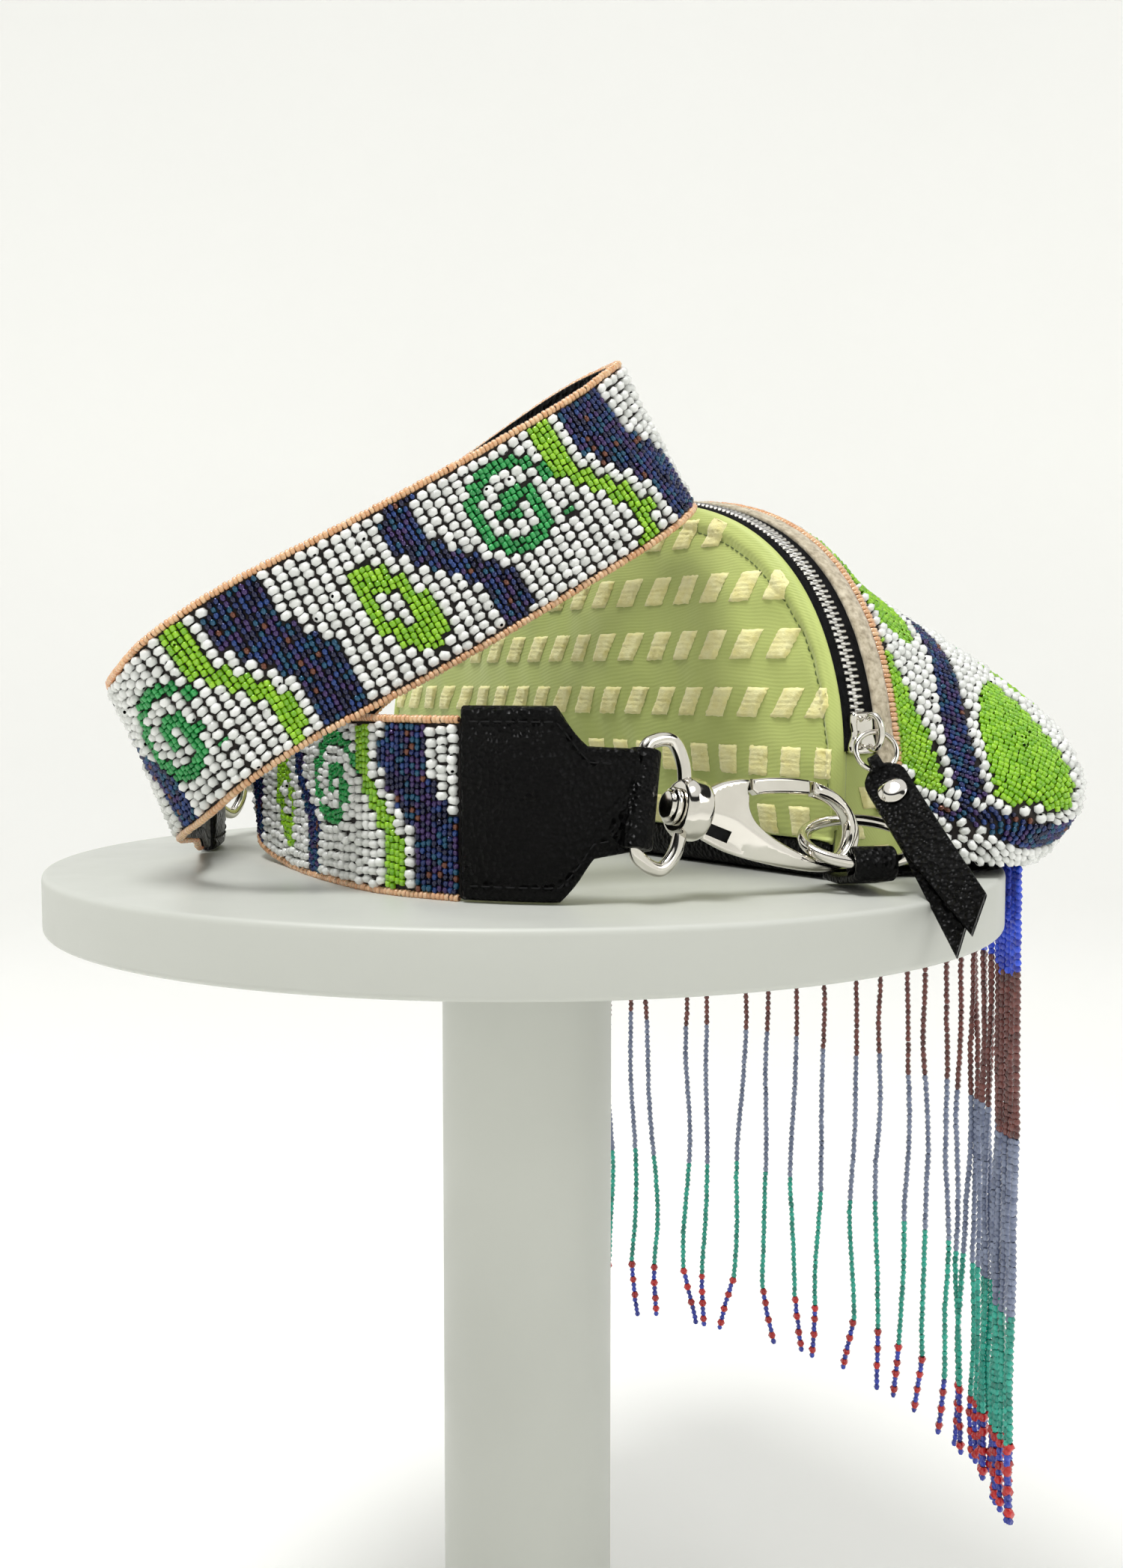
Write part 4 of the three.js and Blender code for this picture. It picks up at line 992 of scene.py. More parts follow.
def make_back_dashes(grid):
    """Rows of yarn dashes, each row leaning its own way and cut off at the panel's edge."""
    px, pz, rise = dash_patch()
    patch_faces = grid_faces(*px.shape)
    parts = []
    for row, lean in enumerate(DASH_LEANS):
        up = DASH["first"] + row * DASH["row"]
        offset = DASH["pitch"] * (DASH["row_start"] + DASH["row_shift"] * row)
        for along in np.arange(offset, BAG_LENGTH, DASH["pitch"]):
            if min(along, BAG_LENGTH - along) < panel_edge(up) + DASH["margin"]:
                continue
            ragged = RNG.normal(0, DASH["ragged_across"], px.shape)
            x = along + px * DASH["width"] - pz * DASH["height"] * lean + ragged
            z = up + pz * DASH["height"] + RNG.normal(0, DASH["ragged_up"], px.shape)
            edge = panel_edge(z) + DASH["margin"]
            x = np.clip(x, edge, BAG_LENGTH - edge)
            y = on_back(grid, x, z) + DASH["lift"] + rise * DASH["rise"] * RNG.uniform(0.9, 1.1, px.shape)
            parts.append((np.stack([x, y, z], -1), patch_faces))
    points, faces = merge_parts(parts)
    add_piece("back_dashes", (from_bag(points), faces), DASH_YARN, "green_cloth")


def stitch_parts(line, out, pitch=2.6, length=1.7):
    """Short rounded stitches along a line, each bowed out of the surface."""
    parts = []
    rows = np.hstack([line, out])
    run = lengths_along(line)
    bow = np.array(STITCH["bow"])
    for start in np.arange(STITCH["first"], run[-1] - length, pitch):
        row = read_at(start + np.linspace(0, length, len(bow)), run, rows)
        parts.append(wire(row[:, :3] + row[:, 3:] * bow[:, None], STITCH["radius"], 5))
    return parts


def make_back_stitches(grid):
    reach = np.linalg.norm(grid - grid[:, :1], axis=2)
    line = np.array([read_at(SEAM["inset"], down, column) for down, column in zip(reach, grid)])
    out = np.tile([0.0, 1.0, 0.0], (len(line), 1))
    points, faces = merge_parts(stitch_parts(line, out))
    add_piece("back_seam_stitches", (from_bag(points), faces), GREEN_THREAD, "green_cloth")


def make_gussets(rows=33, columns=15):
    """Green strips between the zip's ends and the base, each with a few dashes."""
    table = np.array(GUSSET_ROWS)
    degrees = np.interp(np.linspace(0, 1, rows), np.linspace(0, 1, len(table)), table[:, 0])
    reach = np.interp(degrees, table[:, 0], table[:, 1])
    share = np.linspace(0, 1, columns)
    bow = np.sin(math.pi * share)[None] * np.sin(math.pi * np.linspace(0, 1, rows))[:, None]
    for end, turned, outward in (("near", degrees, -1.0), ("far", 180 - degrees, 1.0)):
        grid = np.stack([
            np.stack([arch_point(angle, TAPE_DEPTH[0] + (to - TAPE_DEPTH[0]) * s) for s in share])
            for angle, to in zip(turned, reach)])
        waves = ripple(grid[..., 1], grid[..., 2], GUSSET_BOW["span"], GUSSET_BOW["seed"])
        grid[..., 0] += outward * (GUSSET_BOW["high"] + GUSSET_BOW["ripple"] * waves) * bow
        name = f"end_gusset_{end}"
        add_piece(f"{name}_cloth", sheet(grid), GREEN_CLOTH, "green_cloth", name,
                  wall=PANEL_WALL, side=-outward)
        make_gusset_dashes(grid, name, outward)


def make_gusset_dashes(grid, name, outward):
    px, pz, rise = dash_patch()
    flat = grid.reshape(-1, 3)
    parts = []
    for up, depth in GUSSET_DASHES:
        z = up + pz * GUSSET_DASH["height"]
        y = -depth + px * GUSSET_DASH["width"] + pz * GUSSET_DASH["slant"]
        x = np.empty_like(z)
        for index in np.ndindex(z.shape):
            distance = (flat[:, 2] - z[index]) ** 2 + (flat[:, 1] - y[index]) ** 2
            x[index] = flat[np.argmin(distance), 0]
        x = x + outward * (GUSSET_DASH["lift"] + rise * DASH["rise"])
        parts.append((np.stack([x, y, z], -1), grid_faces(*px.shape)))
    points, faces = merge_parts(parts)
    add_piece(f"{name}_dashes", (from_bag(points), faces), DASH_YARN, "green_cloth")


# Zip, trim and piping

def make_zip_tape():
    grid = arch_band(np.linspace(*TAPE_DEPTH, 9), ZIP_ANGLE, 241)
    grid[:, [0, -1], 2] -= TAPE_EDGE_DROP
    add_piece("zip_tape_cloth", sheet(grid), ZIP_CLOTH, "zip_cloth", "zip_tape", wall=TAPE_WALL)


def tooth_shape():
    """One tooth: a rounded bar through the depth that thins to its hooked tip."""
    loops = []
    for share, width, rise in TOOTH_LOOPS:
        outline = rounded_box(TOOTH["thick"] * width, TOOTH["rise"] * rise, TOOTH["edge"], 1)
        along = np.full(len(outline), share * TOOTH["length"])
        loops.append(np.column_stack([outline[:, 0], along, outline[:, 1]]))
    return skin(np.array(loops))


def make_zip_teeth():
    """Teeth in turn from the tape's two sides."""
    shape, tooth_faces = tooth_shape()
    parts = []
    line, out = arch_line(0.0, *TEETH_ANGLES, TOOTH["pitch"] / 2, TEETH_LIFT)
    for order, (place, way, up) in enumerate(zip(line, tangents_of(line), out)):
        depth = TEETH_DEPTH[order % 2]
        towards = np.array([0.0, 1.0 if order % 2 else -1.0, 0.0])
        base = place + np.array([0.0, -depth, 0.0]) + up * (TOOTH["rise"] / 2 + TOOTH["clear"])
        parts.append((base + shape[:, :1] * way + shape[:, 1:2] * towards + shape[:, 2:] * up, tooth_faces))
    points, faces = merge_parts(parts)
    add_piece("zip_teeth_row", (from_bag(points), faces), ZIP_METAL, "zip_metal", "zip_teeth")


def make_linen_trim(steps=501, columns=7):
    """Linen strip with a slight crown and loose threads."""
    grid = arch_band(np.linspace(*LINEN_DEPTH, columns), EDGE_ANGLE, steps, LINEN_LIFT)
    away = grid - np.array([BAG_LENGTH / 2, 0, LINEN["centre_up"]])
    away[..., 1] = 0
    crown = np.sin(np.linspace(0, math.pi, columns))[None] * LINEN["crown"]
    loose = np.ones(columns)
    loose[[0, -1]] = LINEN["held_edge"]
    threads = RNG.uniform(-LINEN["thread"], LINEN["thread"], (steps, columns)) * loose
    grid = grid + unit(away) * (crown + threads)[..., None]
    add_piece("linen_trim_cloth", sheet(grid), LINEN_CLOTH, "linen_cloth", "linen_trim", wall=PANEL_WALL)


def make_piping():
    line, out = arch_line(PIPING_DEPTH, EDGE_ANGLE, 180 - EDGE_ANGLE, 0.8)
    beads = []
    string_beads(line + out * PIPING_LIFT, out, lambda height: "peach", line[:, 2], beads)
    beads = [bead[:5] + (2 * PIPING_RADIUS,) for bead in beads]
    obj = bead_object("piping_beads", beads, PEACH_BEAD, 0.04, 0.05, bag_matrix())
    finish_piece(obj, "peach_beads", "bead_piping")


# Beaded front

def front_section(shares):
    """Upper edge, hem and swell of the beaded front at shares of its length."""
    mirrored = [(180 - arch, BAG_LENGTH - along, depth, up, swell)
                for arch, along, depth, up, swell in reversed(FRONT_SECTIONS[:-1])]
    read = through(FRONT_SECTIONS + mirrored, shares)
    edge = arch_point(read[:, 0], FRONT_DEPTH)
    hem = np.stack([read[:, 1], -read[:, 2], read[:, 3]], 1)
    return edge, hem, read[:, 4]


def hem_out(edge, hem):
    """Level way from the upper edge out over the hem."""
    out = hem - edge
    out[:, 2] = 0
    return unit(out)


def front_grid(shares, drops):
    """The dome as curves from its upper edge over a shoulder and a belly to the hem."""
    edge, hem, swell = front_section(shares)
    out = hem_out(edge, hem)
    reach = np.hypot(hem[:, 0] - edge[:, 0], hem[:, 1] - edge[:, 1])
    rise = edge[:, 2] - hem[:, 2]
    shoulder = edge + out * (reach * SHOULDER["out"])[:, None] - UP * (rise * SHOULDER["drop"])[:, None]
    belly = hem + out * (swell * BELLY["out"])[:, None] + UP * (rise * BELLY["rise"])[:, None]
    t = np.asarray(drops)[None, :, None]
    return ((1 - t) ** 3 * edge[:, None] + 3 * t * (1 - t) ** 2 * shoulder[:, None]
            + 3 * t ** 2 * (1 - t) * belly[:, None] + t ** 3 * hem[:, None])


def grid_normals(grid):
    """Normals that point out of a domed grid, and the side of its faces that is inside, -1 or 1."""
    normals = unit(np.cross(np.gradient(grid, axis=0), np.gradient(grid, axis=1)))
    centre = grid.reshape(-1, 3).mean(0)
    outward = np.sum(normals * (grid - centre), -1).mean()
    return (normals, -1.0) if outward > 0 else (-normals, 1.0)


def front_pattern(along, down, above_hem):
    """Plain beadwork of wavy bands, leaves and a light ground, as places in the list of colours."""
    white, lime, kelly, navy = range(len(PATTERN))
    hem_band = HEM_BAND["up"] + HEM_BAND["wave"] * np.sin(along / HEM_BAND["span"] + HEM_BAND["phase"])
    band = UPPER_BAND["down"] + UPPER_BAND["wave"] * np.sin(along / UPPER_BAND["span"])
    pitch = FRONT_LEAF["pitch"]
    leaf_along = (along + FRONT_LEAF["shift"]) % pitch - pitch / 2
    leaf_down = down - FRONT_LEAF["down"] - FRONT_LEAF["wave"] * np.sin(along / FRONT_LEAF["span"])
    leaf = np.hypot((leaf_along - FRONT_LEAF["slant"] * leaf_down) / FRONT_LEAF["half_wide"],
                    leaf_down / FRONT_LEAF["half_tall"])
    swirl = (np.sin(along / SWIRL["span"] + SWIRL["bend"] * np.sin(down / SWIRL["bend_span"]))
             + SWIRL["cross"] * np.cos(down / SWIRL["cross_span"] - along / SWIRL["drift_span"]))
    half, border = FRONT_BAND["half"], FRONT_BAND["border"]
    return np.select(
        [np.abs(above_hem - hem_band) < half, above_hem < hem_band + border, np.abs(down - band) < half,
         np.abs(down - band) < border, leaf < FRONT_LEAF["heart"], leaf < 1.0, swirl > 0.0],
        [navy, white, navy, white, kelly, white, lime], white)


def make_front():
    """Backing cloth and beads of the dome."""
    grid = front_grid(np.linspace(0, 1, 301), np.linspace(0, 1, 261))
    normals, _ = grid_normals(grid)
    cloth = (grid + normals * FRONT_CLOTH_LIFT)[::4, ::8]
    _, inner_side = grid_normals(cloth)
    add_piece("front_backing", sheet(cloth), BACKING_CLOTH, "front_beads", "front_panel",
              wall=PANEL_WALL, side=inner_side)
    room = np.linalg.norm(np.diff(grid, axis=0), axis=2).mean(1)
    along = np.concatenate([[0.0], np.cumsum(room)])

    def read_line(place):
        index = np.searchsorted(along, place) - 1
        share = (place - along[index]) / room[index]
        line = grid[index] * (1 - share) + grid[index + 1] * share
        out = unit(normals[index] * (1 - share) + normals[index + 1] * share)
        return line + out * FRONT_BEAD_LIFT, out

    def read_codes(place):
        down = lengths_along(read_line(place)[0])
        return front_pattern(place - along[-1] / 2, down, down[-1] - down)

    places = np.arange(BEAD_COLUMN * 0.5, along[-1] - 1.0, BEAD_COLUMN)
    pattern_objects("front", fill_columns(places, read_line, read_codes), "front_beads", bag_matrix())


def make_base(columns=97):
    """Leather base from its edge behind the green panel to the front's hem; the edge, turned up as a black
    band under the panel, is partly painted shade.
    """
    edge, hem, _ = front_section(np.linspace(BASE["end_share"], 1 - BASE["end_share"], columns))
    toe = hem - hem_out(edge, hem) * BASE["behind_hem"]
    toe[:, 2] = BASE["floor"]
    along = np.linspace(CORNER_INSET, BAG_LENGTH - CORNER_INSET, columns)
    zero = 0 * along
    heel = np.stack([along, zero, zero + BASE["floor"]], 1)
    rows = [np.stack([along, zero - depth, zero + up], 1) for depth, up in BASE_EDGE]
    grid = np.stack(rows + [(heel + toe) / 2, toe], 1)
    base = make_object("base_panel_leather", *sheet(grid), [LEATHER])
    add_modifier(base, "SOLIDIFY", thickness=BASE["wall"] * MM, offset=1.0)
    add_modifier(base, "SUBSURF", levels=1, render_levels=1)
    finish_piece(base, "black_leather", "base_panel")


# Fringe, in the frame of the stand's top

def strand_route(order):
    """Corner points of one strand, from the hem over the rim to its tip, and its way out from the stand."""
    width = STRAND_SHARE["to"] - STRAND_SHARE["from"]
    share = STRAND_SHARE["from"] + width * order ** STRAND_SHARE["crowding"]
    edge, hem, _ = front_section(np.array([share]))
    start = hem - hem_out(edge, hem) * HEAD["behind_hem"]
    start = from_bag(start)[0] - UP * (STAND_HEIGHT + HEAD["down"])
    radius = math.hypot(start[0], start[1])
    outward = np.array([start[0], start[1], 0.0]) / radius
    rim = STAND_RADIUS + OVER_RIM["clear"]
    hang = max(radius, rim)
    tip = STRAND_END[0] + (STRAND_END[1] - STRAND_END[0]) * min(1.0, order * 3)
    low = OVER_RIM["low"]
    dip = OVER_RIM["dip"]
    if radius > rim - 3 * dip:
        corners = [(hang, low), (hang, tip)]
    else:
        turned = (hang - OVER_RIM["turn_in"], low - OVER_RIM["turn_down"])
        corners = [(radius + dip, low), (hang - dip, low), turned, (hang, -OVER_RIM["clear"]), (hang, tip)]
    return np.array([start] + [outward * distance + UP * up for distance, up in corners]), outward


def strand_bead(up, shift, tip):
    """Band colours down the strand, and red beads in turn with blue ones in its tip."""
    if up < tip:
        red = (tip - up) % TIP_BEADS["pitch"] < TIP_BEADS["red"] and up > tip - TIP_BEADS["last_red"]
        return "red" if red else "tip_blue"
    place = max(up + shift, FRINGE_BANDS[-1][0] + 0.1)
    return next(kind for below, kind in FRINGE_BANDS if place > below)


def swing(fall, high, span, phase):
    """Sway of a strand, with a random wavelength."""
    return high * np.sin(fall / RNG.uniform(*span) + phase)


def make_fringe():
    """Strands of beads that wander, lean and cross as they hang, and the thread that they hang from."""
    beads = []
    heads = []
    strands = [(order, 0.0) for order in np.linspace(0, 1, STRAND_COUNT)]
    strands += [(order, BUNCH["outset"]) for order in np.linspace(BUNCH["from"], BUNCH["to"], BUNCH["count"])]
    for number, (order, outset) in enumerate(strands):
        route, outward = strand_route(order)
        if outset == 0:
            heads.append(route[0])
        line = even(route, 1.0) + outward * outset
        fall = -line[:, 2]
        hanging = ease(fall, **FREE_FALL)
        phase = RNG.uniform(0, 2 * math.pi, 2)
        sway = swing(fall, **SLOW_SWAY, phase=phase[0]) + swing(fall, **QUICK_SWAY, phase=phase[1])
        aside = RNG.normal(0, BUNCH["aside"] if outset else STRAND_DRIFT["aside"])
        lean = RNG.normal(0, STRAND_DRIFT["lean"]) * ease(fall, **LEAN_FALL)
        flick = RNG.normal(0, STRAND_DRIFT["flick"]) * np.clip(fall - fall[-1] + TIP_LENGTH, 0, None)
        crossing = STRAND_CROSSING * CROSSING_TURNS[number % 4] * ease(fall, **CROSSING_FALL) ** 2
        bulge = np.abs(STRAND_BULGE["high"] * np.sin(fall / STRAND_BULGE["span"] + phase[1]))
        side = np.cross(UP, outward)
        line = line + side * ((sway + aside + lean + crossing + flick) * hanging)[:, None]
        line = line + outward * (bulge * hanging)[:, None]
        shift = RNG.normal(0, STRAND_DRIFT["band"])
        tip = line[-1, 2] + TIP_LENGTH
        normals = np.repeat(outward[None], len(line), 0)
        string_beads(line, normals, lambda up: strand_bead(up, shift, tip), line[:, 2], beads)
    onto_stand = Matrix.Translation(UP * STAND_HEIGHT * MM)
    obj = bead_object("fringe_strands", beads, FINE_BEAD, 0.05, 0.06, onto_stand)
    finish_piece(obj, "fringe_beads", "fringe", "fringe_head")
    head, faces = wire(even(smooth_run(heads, 200), 1.5), HEAD["radius"], 10)
    add_piece("fringe_head", (head + UP * STAND_HEIGHT, faces), BLACK_THREAD_AND_SHADE, "fringe_beads")


# Strap

def strap_stations(steps=641):
    """Centre line of the strap, with its way across and its way out of the beaded face."""
    route = np.array(STRAP_ROUTE, float)
    shares = np.linspace(0, 1, steps)
    centres = through(route[:, :3], shares, centripetal=True)
    leans = np.radians(through(route[:, 3:], shares)[:, 0])
    tangents = tangents_of(centres)
    upward = np.stack([-np.sin(leans), 0 * leans, np.cos(leans)], 1)
    across = unit(upward - tangents * np.sum(upward * tangents, 1, keepdims=True))
    return laid(centres), across, np.cross(across, tangents)


def strap_pattern(along, side):
    """Plain repeat of wavy bands, a vine, curls and leaves on white, as places in the list of colours."""
    white, lime, kelly, navy = range(len(PATTERN))
    u = along % STRAP_REPEAT
    sway = BAND_SWAY["high"] * np.sin(side / BAND_SWAY["span"]) + BAND_SWAY["slant"] * side
    curl_along = u - CURL["at"]
    curl_side = side - CURL["drift"] * np.cos(np.floor(along / STRAP_REPEAT) * CURL["turn"])
    radius = np.hypot(curl_along, curl_side)
    turn = np.arctan2(curl_side, curl_along) / (2 * np.pi)
    curl = (radius < CURL["radius"]) & ((radius / CURL["pitch"] - turn) % 1.0 < CURL["share"])
    leaf_side = side - STRAP_LEAF["side"]
    leaf = np.hypot((u - STRAP_LEAF["at"] - STRAP_LEAF["slant"] * leaf_side) / STRAP_LEAF["half_wide"],
                    leaf_side / STRAP_LEAF["half_tall"])
    navy_band = np.abs(u - NAVY_BAND["at"] - sway) < NAVY_BAND["half"]
    lime_band = np.abs(u - LIME_BAND["at"] - sway) < LIME_BAND["half"]
    vine = np.abs(u - VINE["at"] - VINE["sway"] * sway) < VINE["half"]
    return np.select(
        [navy_band, lime_band, curl, vine, leaf < STRAP_LEAF["heart"], leaf < 1.0],
        [navy, lime, kelly, navy, white, lime], white)


def make_strap():
    """Cloth, leather backing, beads, edging and stitches of the strap."""
    centres, across, out = strap_stations()
    run = lengths_along(centres)
    half = STRAP_WIDTH / 2
    thinned = [values[::3] for values in (centres, across, out)]
    cloth = rounded_box(STRAP_WIDTH - STRAP_CLOTH["inset"], STRAP_CLOTH["wall"], STRAP_CLOTH["edge"], 2)
    cloth[:, 1] += STRAP_CLOTH["lift"]
    add_piece("strap_cloth", sweep(*thinned, cloth), BACKING_CLOTH, "strap_beads", "strap_band")
    leather = rounded_box(STRAP_WIDTH, BACKING["wall"], BACKING["edge"])
    leather[:, 1] -= GAP + BACKING["wall"] / 2
    add_piece("strap_backing_leather", sweep(*thinned, leather), LEATHER, "black_leather", "strap_backing")
    sides = np.arange(-half + STRAP_EDGE, half - STRAP_EDGE, 0.3)
    stations = np.hstack([centres, across, out])

    def read_line(place):
        row = read_at(place, run, stations)
        line = row[:3] + row[6:] * STRAP_BEAD_LIFT + sides[:, None] * row[3:6]
        return line, np.repeat(row[None, 6:], len(sides), 0)

    places = np.arange(BEAD_COLUMN * 0.55, run[-1] - BEAD_COLUMN * 0.4, BEAD_COLUMN)
    beads = fill_columns(places, read_line, lambda place: strap_pattern(place, sides))
    pattern_objects("strap", beads, "strap_beads")
    edging = []
    for side in (EDGING["inset"] - half, half - EDGING["inset"]):
        string_beads(centres + across * side + out * EDGING["lift"], out, lambda height: "peach", run, edging)
    finish_piece(bead_object("strap_edge_beads", edging, PEACH_BEAD, 0.05, 0.05), "peach_beads")
    parts = []
    for side in (-1, 1):
        line = centres + across * side * (half - BACKING["stitch_inset"]) - out * (GAP + BACKING["wall"])
        parts.extend(stitch_parts(line, -out, BACKING["stitch_pitch"], BACKING["stitch_length"]))
    add_piece("strap_backing_stitches", merge_parts(parts), BLACK_THREAD_AND_SHADE, "black_leather")


# Hooks, in the frame of the hook: a along it, b up and c out of its face

def hook_matrix(hook):
    a = unit(np.array(hook["axis"], float))
    face = np.array(hook["face"], float)
    c = unit(face - a * face.dot(a))
    return matrix_of(a, np.cross(c, a), c, laid(hook["place"]))


def turned_about(matrix, order):
    """The same frame with its axes in another order; turned pieces run along the third."""
    turn, place = matrix
    return turn[:, order], place


def loop_line():
    """D-shaped loop: a straight bar in the leather fold and a round bow through the collar."""
    bar = LOOP_BAR
    tall = LOOP["straight"] + LOOP["half_width"]
    bow = LOOP["centre"] + LOOP["half_width"]
    upper = [(bar, tall * 0.74), (bar + 3.0, tall * 0.95), (bar + 8.2, tall), (bow - 1.4, tall * 0.74),
             (bow, tall * 0.4)]
    lower = [(a, -b) for a, b in reversed(upper)]
    knots = lower[-1:] + [(bar, 0)] + upper + [(bow, 0)] + lower[:-1]
    closed = knots + knots[:3]
    step = 1 / (len(closed) - 1)
    dense = through(closed, np.linspace(step, 1 - step, 145))[:-1]
    return np.column_stack([dense, 0 * dense[:, 0]])


def add_swivel(name, matrix, tail, edge, replaced):
    """Loop and turned collar of a hook; tail is the rest of the collar's profile, back to its axis."""
    loop, faces = wire(loop_line(), LOOP["wire"], 18, closed=True)
    first, last, radius = COLLAR["from"], COLLAR["to"], COLLAR["radius"]
    profile = [(0, first), (radius * 0.82, first), (radius, first + 2.2), (radius, last - 1.6),
               (radius * 0.9, last)]
    collar = lathe(rounded_profile(profile + tail, edge), 48, turned_about(matrix, ALONG_A))
    add_piece(name, merge_parts([(placed(loop, matrix), faces), collar]), NICKEL, "nickel", replaced)


def make_near_hook():
    """Swivel, stud, cast body and sprung gate."""
    matrix = hook_matrix(HOOK_NEAR)
    add_swivel("hook_loop_polished", matrix, [(0, COLLAR["to"])], 0.9, "hook_loop")
    head, pin = STUD["head"], STUD["pin"]
    head_end = COLLAR["from"] - GAP
    start = head_end - STUD["head_length"]
    corners = [(0, start - 0.4), (head * 0.72, start - 0.4), (head * 0.8, start + 0.6), (head, start + 1.0),
               (head, head_end), (pin, head_end), (pin, -GAP), (0, -GAP)]
    stud = lathe(rounded_profile(corners, STUD["edge"]), 40, turned_about(matrix, ALONG_A))
    add_piece("hook_barrel_polished", stud, NICKEL, "nickel", "hook_barrel")
    make_hook_body(matrix)
    outline = outline_of(GATE_RUNS)
    gate = plate_object("hook_gate_polished", [outline], GATE["thickness"], GATE["edge"], matrix)
    finish_piece(gate, "nickel", "hook_gate", body="gate")


def make_far_hook():
    """Plain closed hook: the swivel with its shank, and a flat eye."""
    matrix = hook_matrix(HOOK_FAR)
    shank, wall = FAR_EYE["shank"], FAR_EYE["wall"]
    end = FAR_EYE["a"] - FAR_EYE["half_long"] + wall
    add_swivel("hook_far_swivel", matrix, [(shank, COLLAR["to"]), (shank, end), (0, end)], 0.8, "hook_far")
    centre = (FAR_EYE["a"], FAR_EYE["b"])
    eye = [oval(centre, (FAR_EYE["half_long"] - inset, 0), (0, FAR_EYE["half_short"] - inset))
           for inset in (0, wall)]
    finish_piece(plate_object("hook_far_eye", eye, HOOK_THICKNESS, FAR_EYE["edge"], matrix), "nickel")


def outline_of(runs):
    """Points round an outline made of smooth runs."""
    return np.vstack([smooth_run(run, 2 if len(run) == 2 else 8 * len(run))[:-1] for run in runs])


def nearest_segment(points, starts, ends):
    """Distance from each point to the nearest segment, and which side of that segment it is on."""
    way = ends - starts
    rel = points[:, None] - starts[None]
    share = np.clip(np.sum(rel * way[None], -1) / np.sum(way * way, -1)[None], 0, 1)
    gap = rel - share[..., None] * way[None]
    distance = np.linalg.norm(gap, axis=-1)
    nearest = np.argmin(distance, 1)
    gap = gap[np.arange(len(points)), nearest]
    side = way[nearest, 0] * gap[:, 1] - way[nearest, 1] * gap[:, 0]
    return distance.min(1), np.sign(side)


def off_outline(points, outline):
    """Distance from each point to a closed outline."""
    return nearest_segment(points, outline, np.roll(outline, -1, 0))[0]


def inside_outline(points, outline):
    """Whether each point is inside a closed outline, by the edges to its right."""
    ahead = np.roll(outline, -1, 0)
    rise = ahead[:, 1] - outline[:, 1]
    rise = np.where(rise == 0, 1e-9, rise)
    spans = (outline[None, :, 1] > points[:, None, 1]) != (ahead[None, :, 1] > points[:, None, 1])
    share = (points[:, None, 1] - outline[None, :, 1]) / rise[None]
    cross = outline[None, :, 0] + share * (ahead - outline)[None, :, 0]
    return (spans & (points[:, None, 0] < cross)).sum(1) % 2 == 1


def hook_net(outline, slot):
    """Points and triangles over the hook's flat outline, finer near its edge, that keep the slot's edge."""
    way = unit(np.roll(outline, -1, 0) - np.roll(outline, 1, 0))
    inward = np.stack([way[:, 1], -way[:, 0]], 1)
    low, high = outline.min(0), outline.max(0)
    across, up = np.meshgrid(np.arange(low[0], high[0], NET["across"]), np.arange(low[1], high[1], NET["up"]),
                             indexing="ij")
    across = across + NET["across"] / 2 * (np.arange(up.shape[1]) % 2)[None]
    rows = [(outline + inward * step, step * NET["row_room"]) for step in NET["edge_rows"]]
    rows.append((np.stack([across, up], -1).reshape(-1, 2), NET["inner"]))
    kept = [outline, slot]
    for row, least in rows:
        good = inside_outline(row, outline) & (off_outline(row, outline) > least)
        good &= (off_outline(row, slot) > NET["off_slot"]) & ~inside_outline(row, slot)
        kept.append(row[good])
    first = len(outline)
    loops = [(k, (k + 1) % first) for k in range(first)]
    loops += [(first + k, first + (k + 1) % len(slot)) for k in range(len(slot))]
    made = delaunay_2d_cdt([Vector(point) for point in np.vstack(kept)], loops, [], 0, 1e-5)
    flat = np.array([tuple(point) for point in made[0]])
    triangles = np.array([face for face in made[2] if len(face) == 3])
    triangles = triangles[inside_outline(flat[triangles].mean(1), outline)]
    one, two, three = (flat[triangles[:, k]] for k in range(3))
    area = (two - one)[:, 0] * (three - one)[:, 1] - (two - one)[:, 1] * (three - one)[:, 0]
    return flat, np.where(area[:, None] > 0, triangles, triangles[:, ::-1])


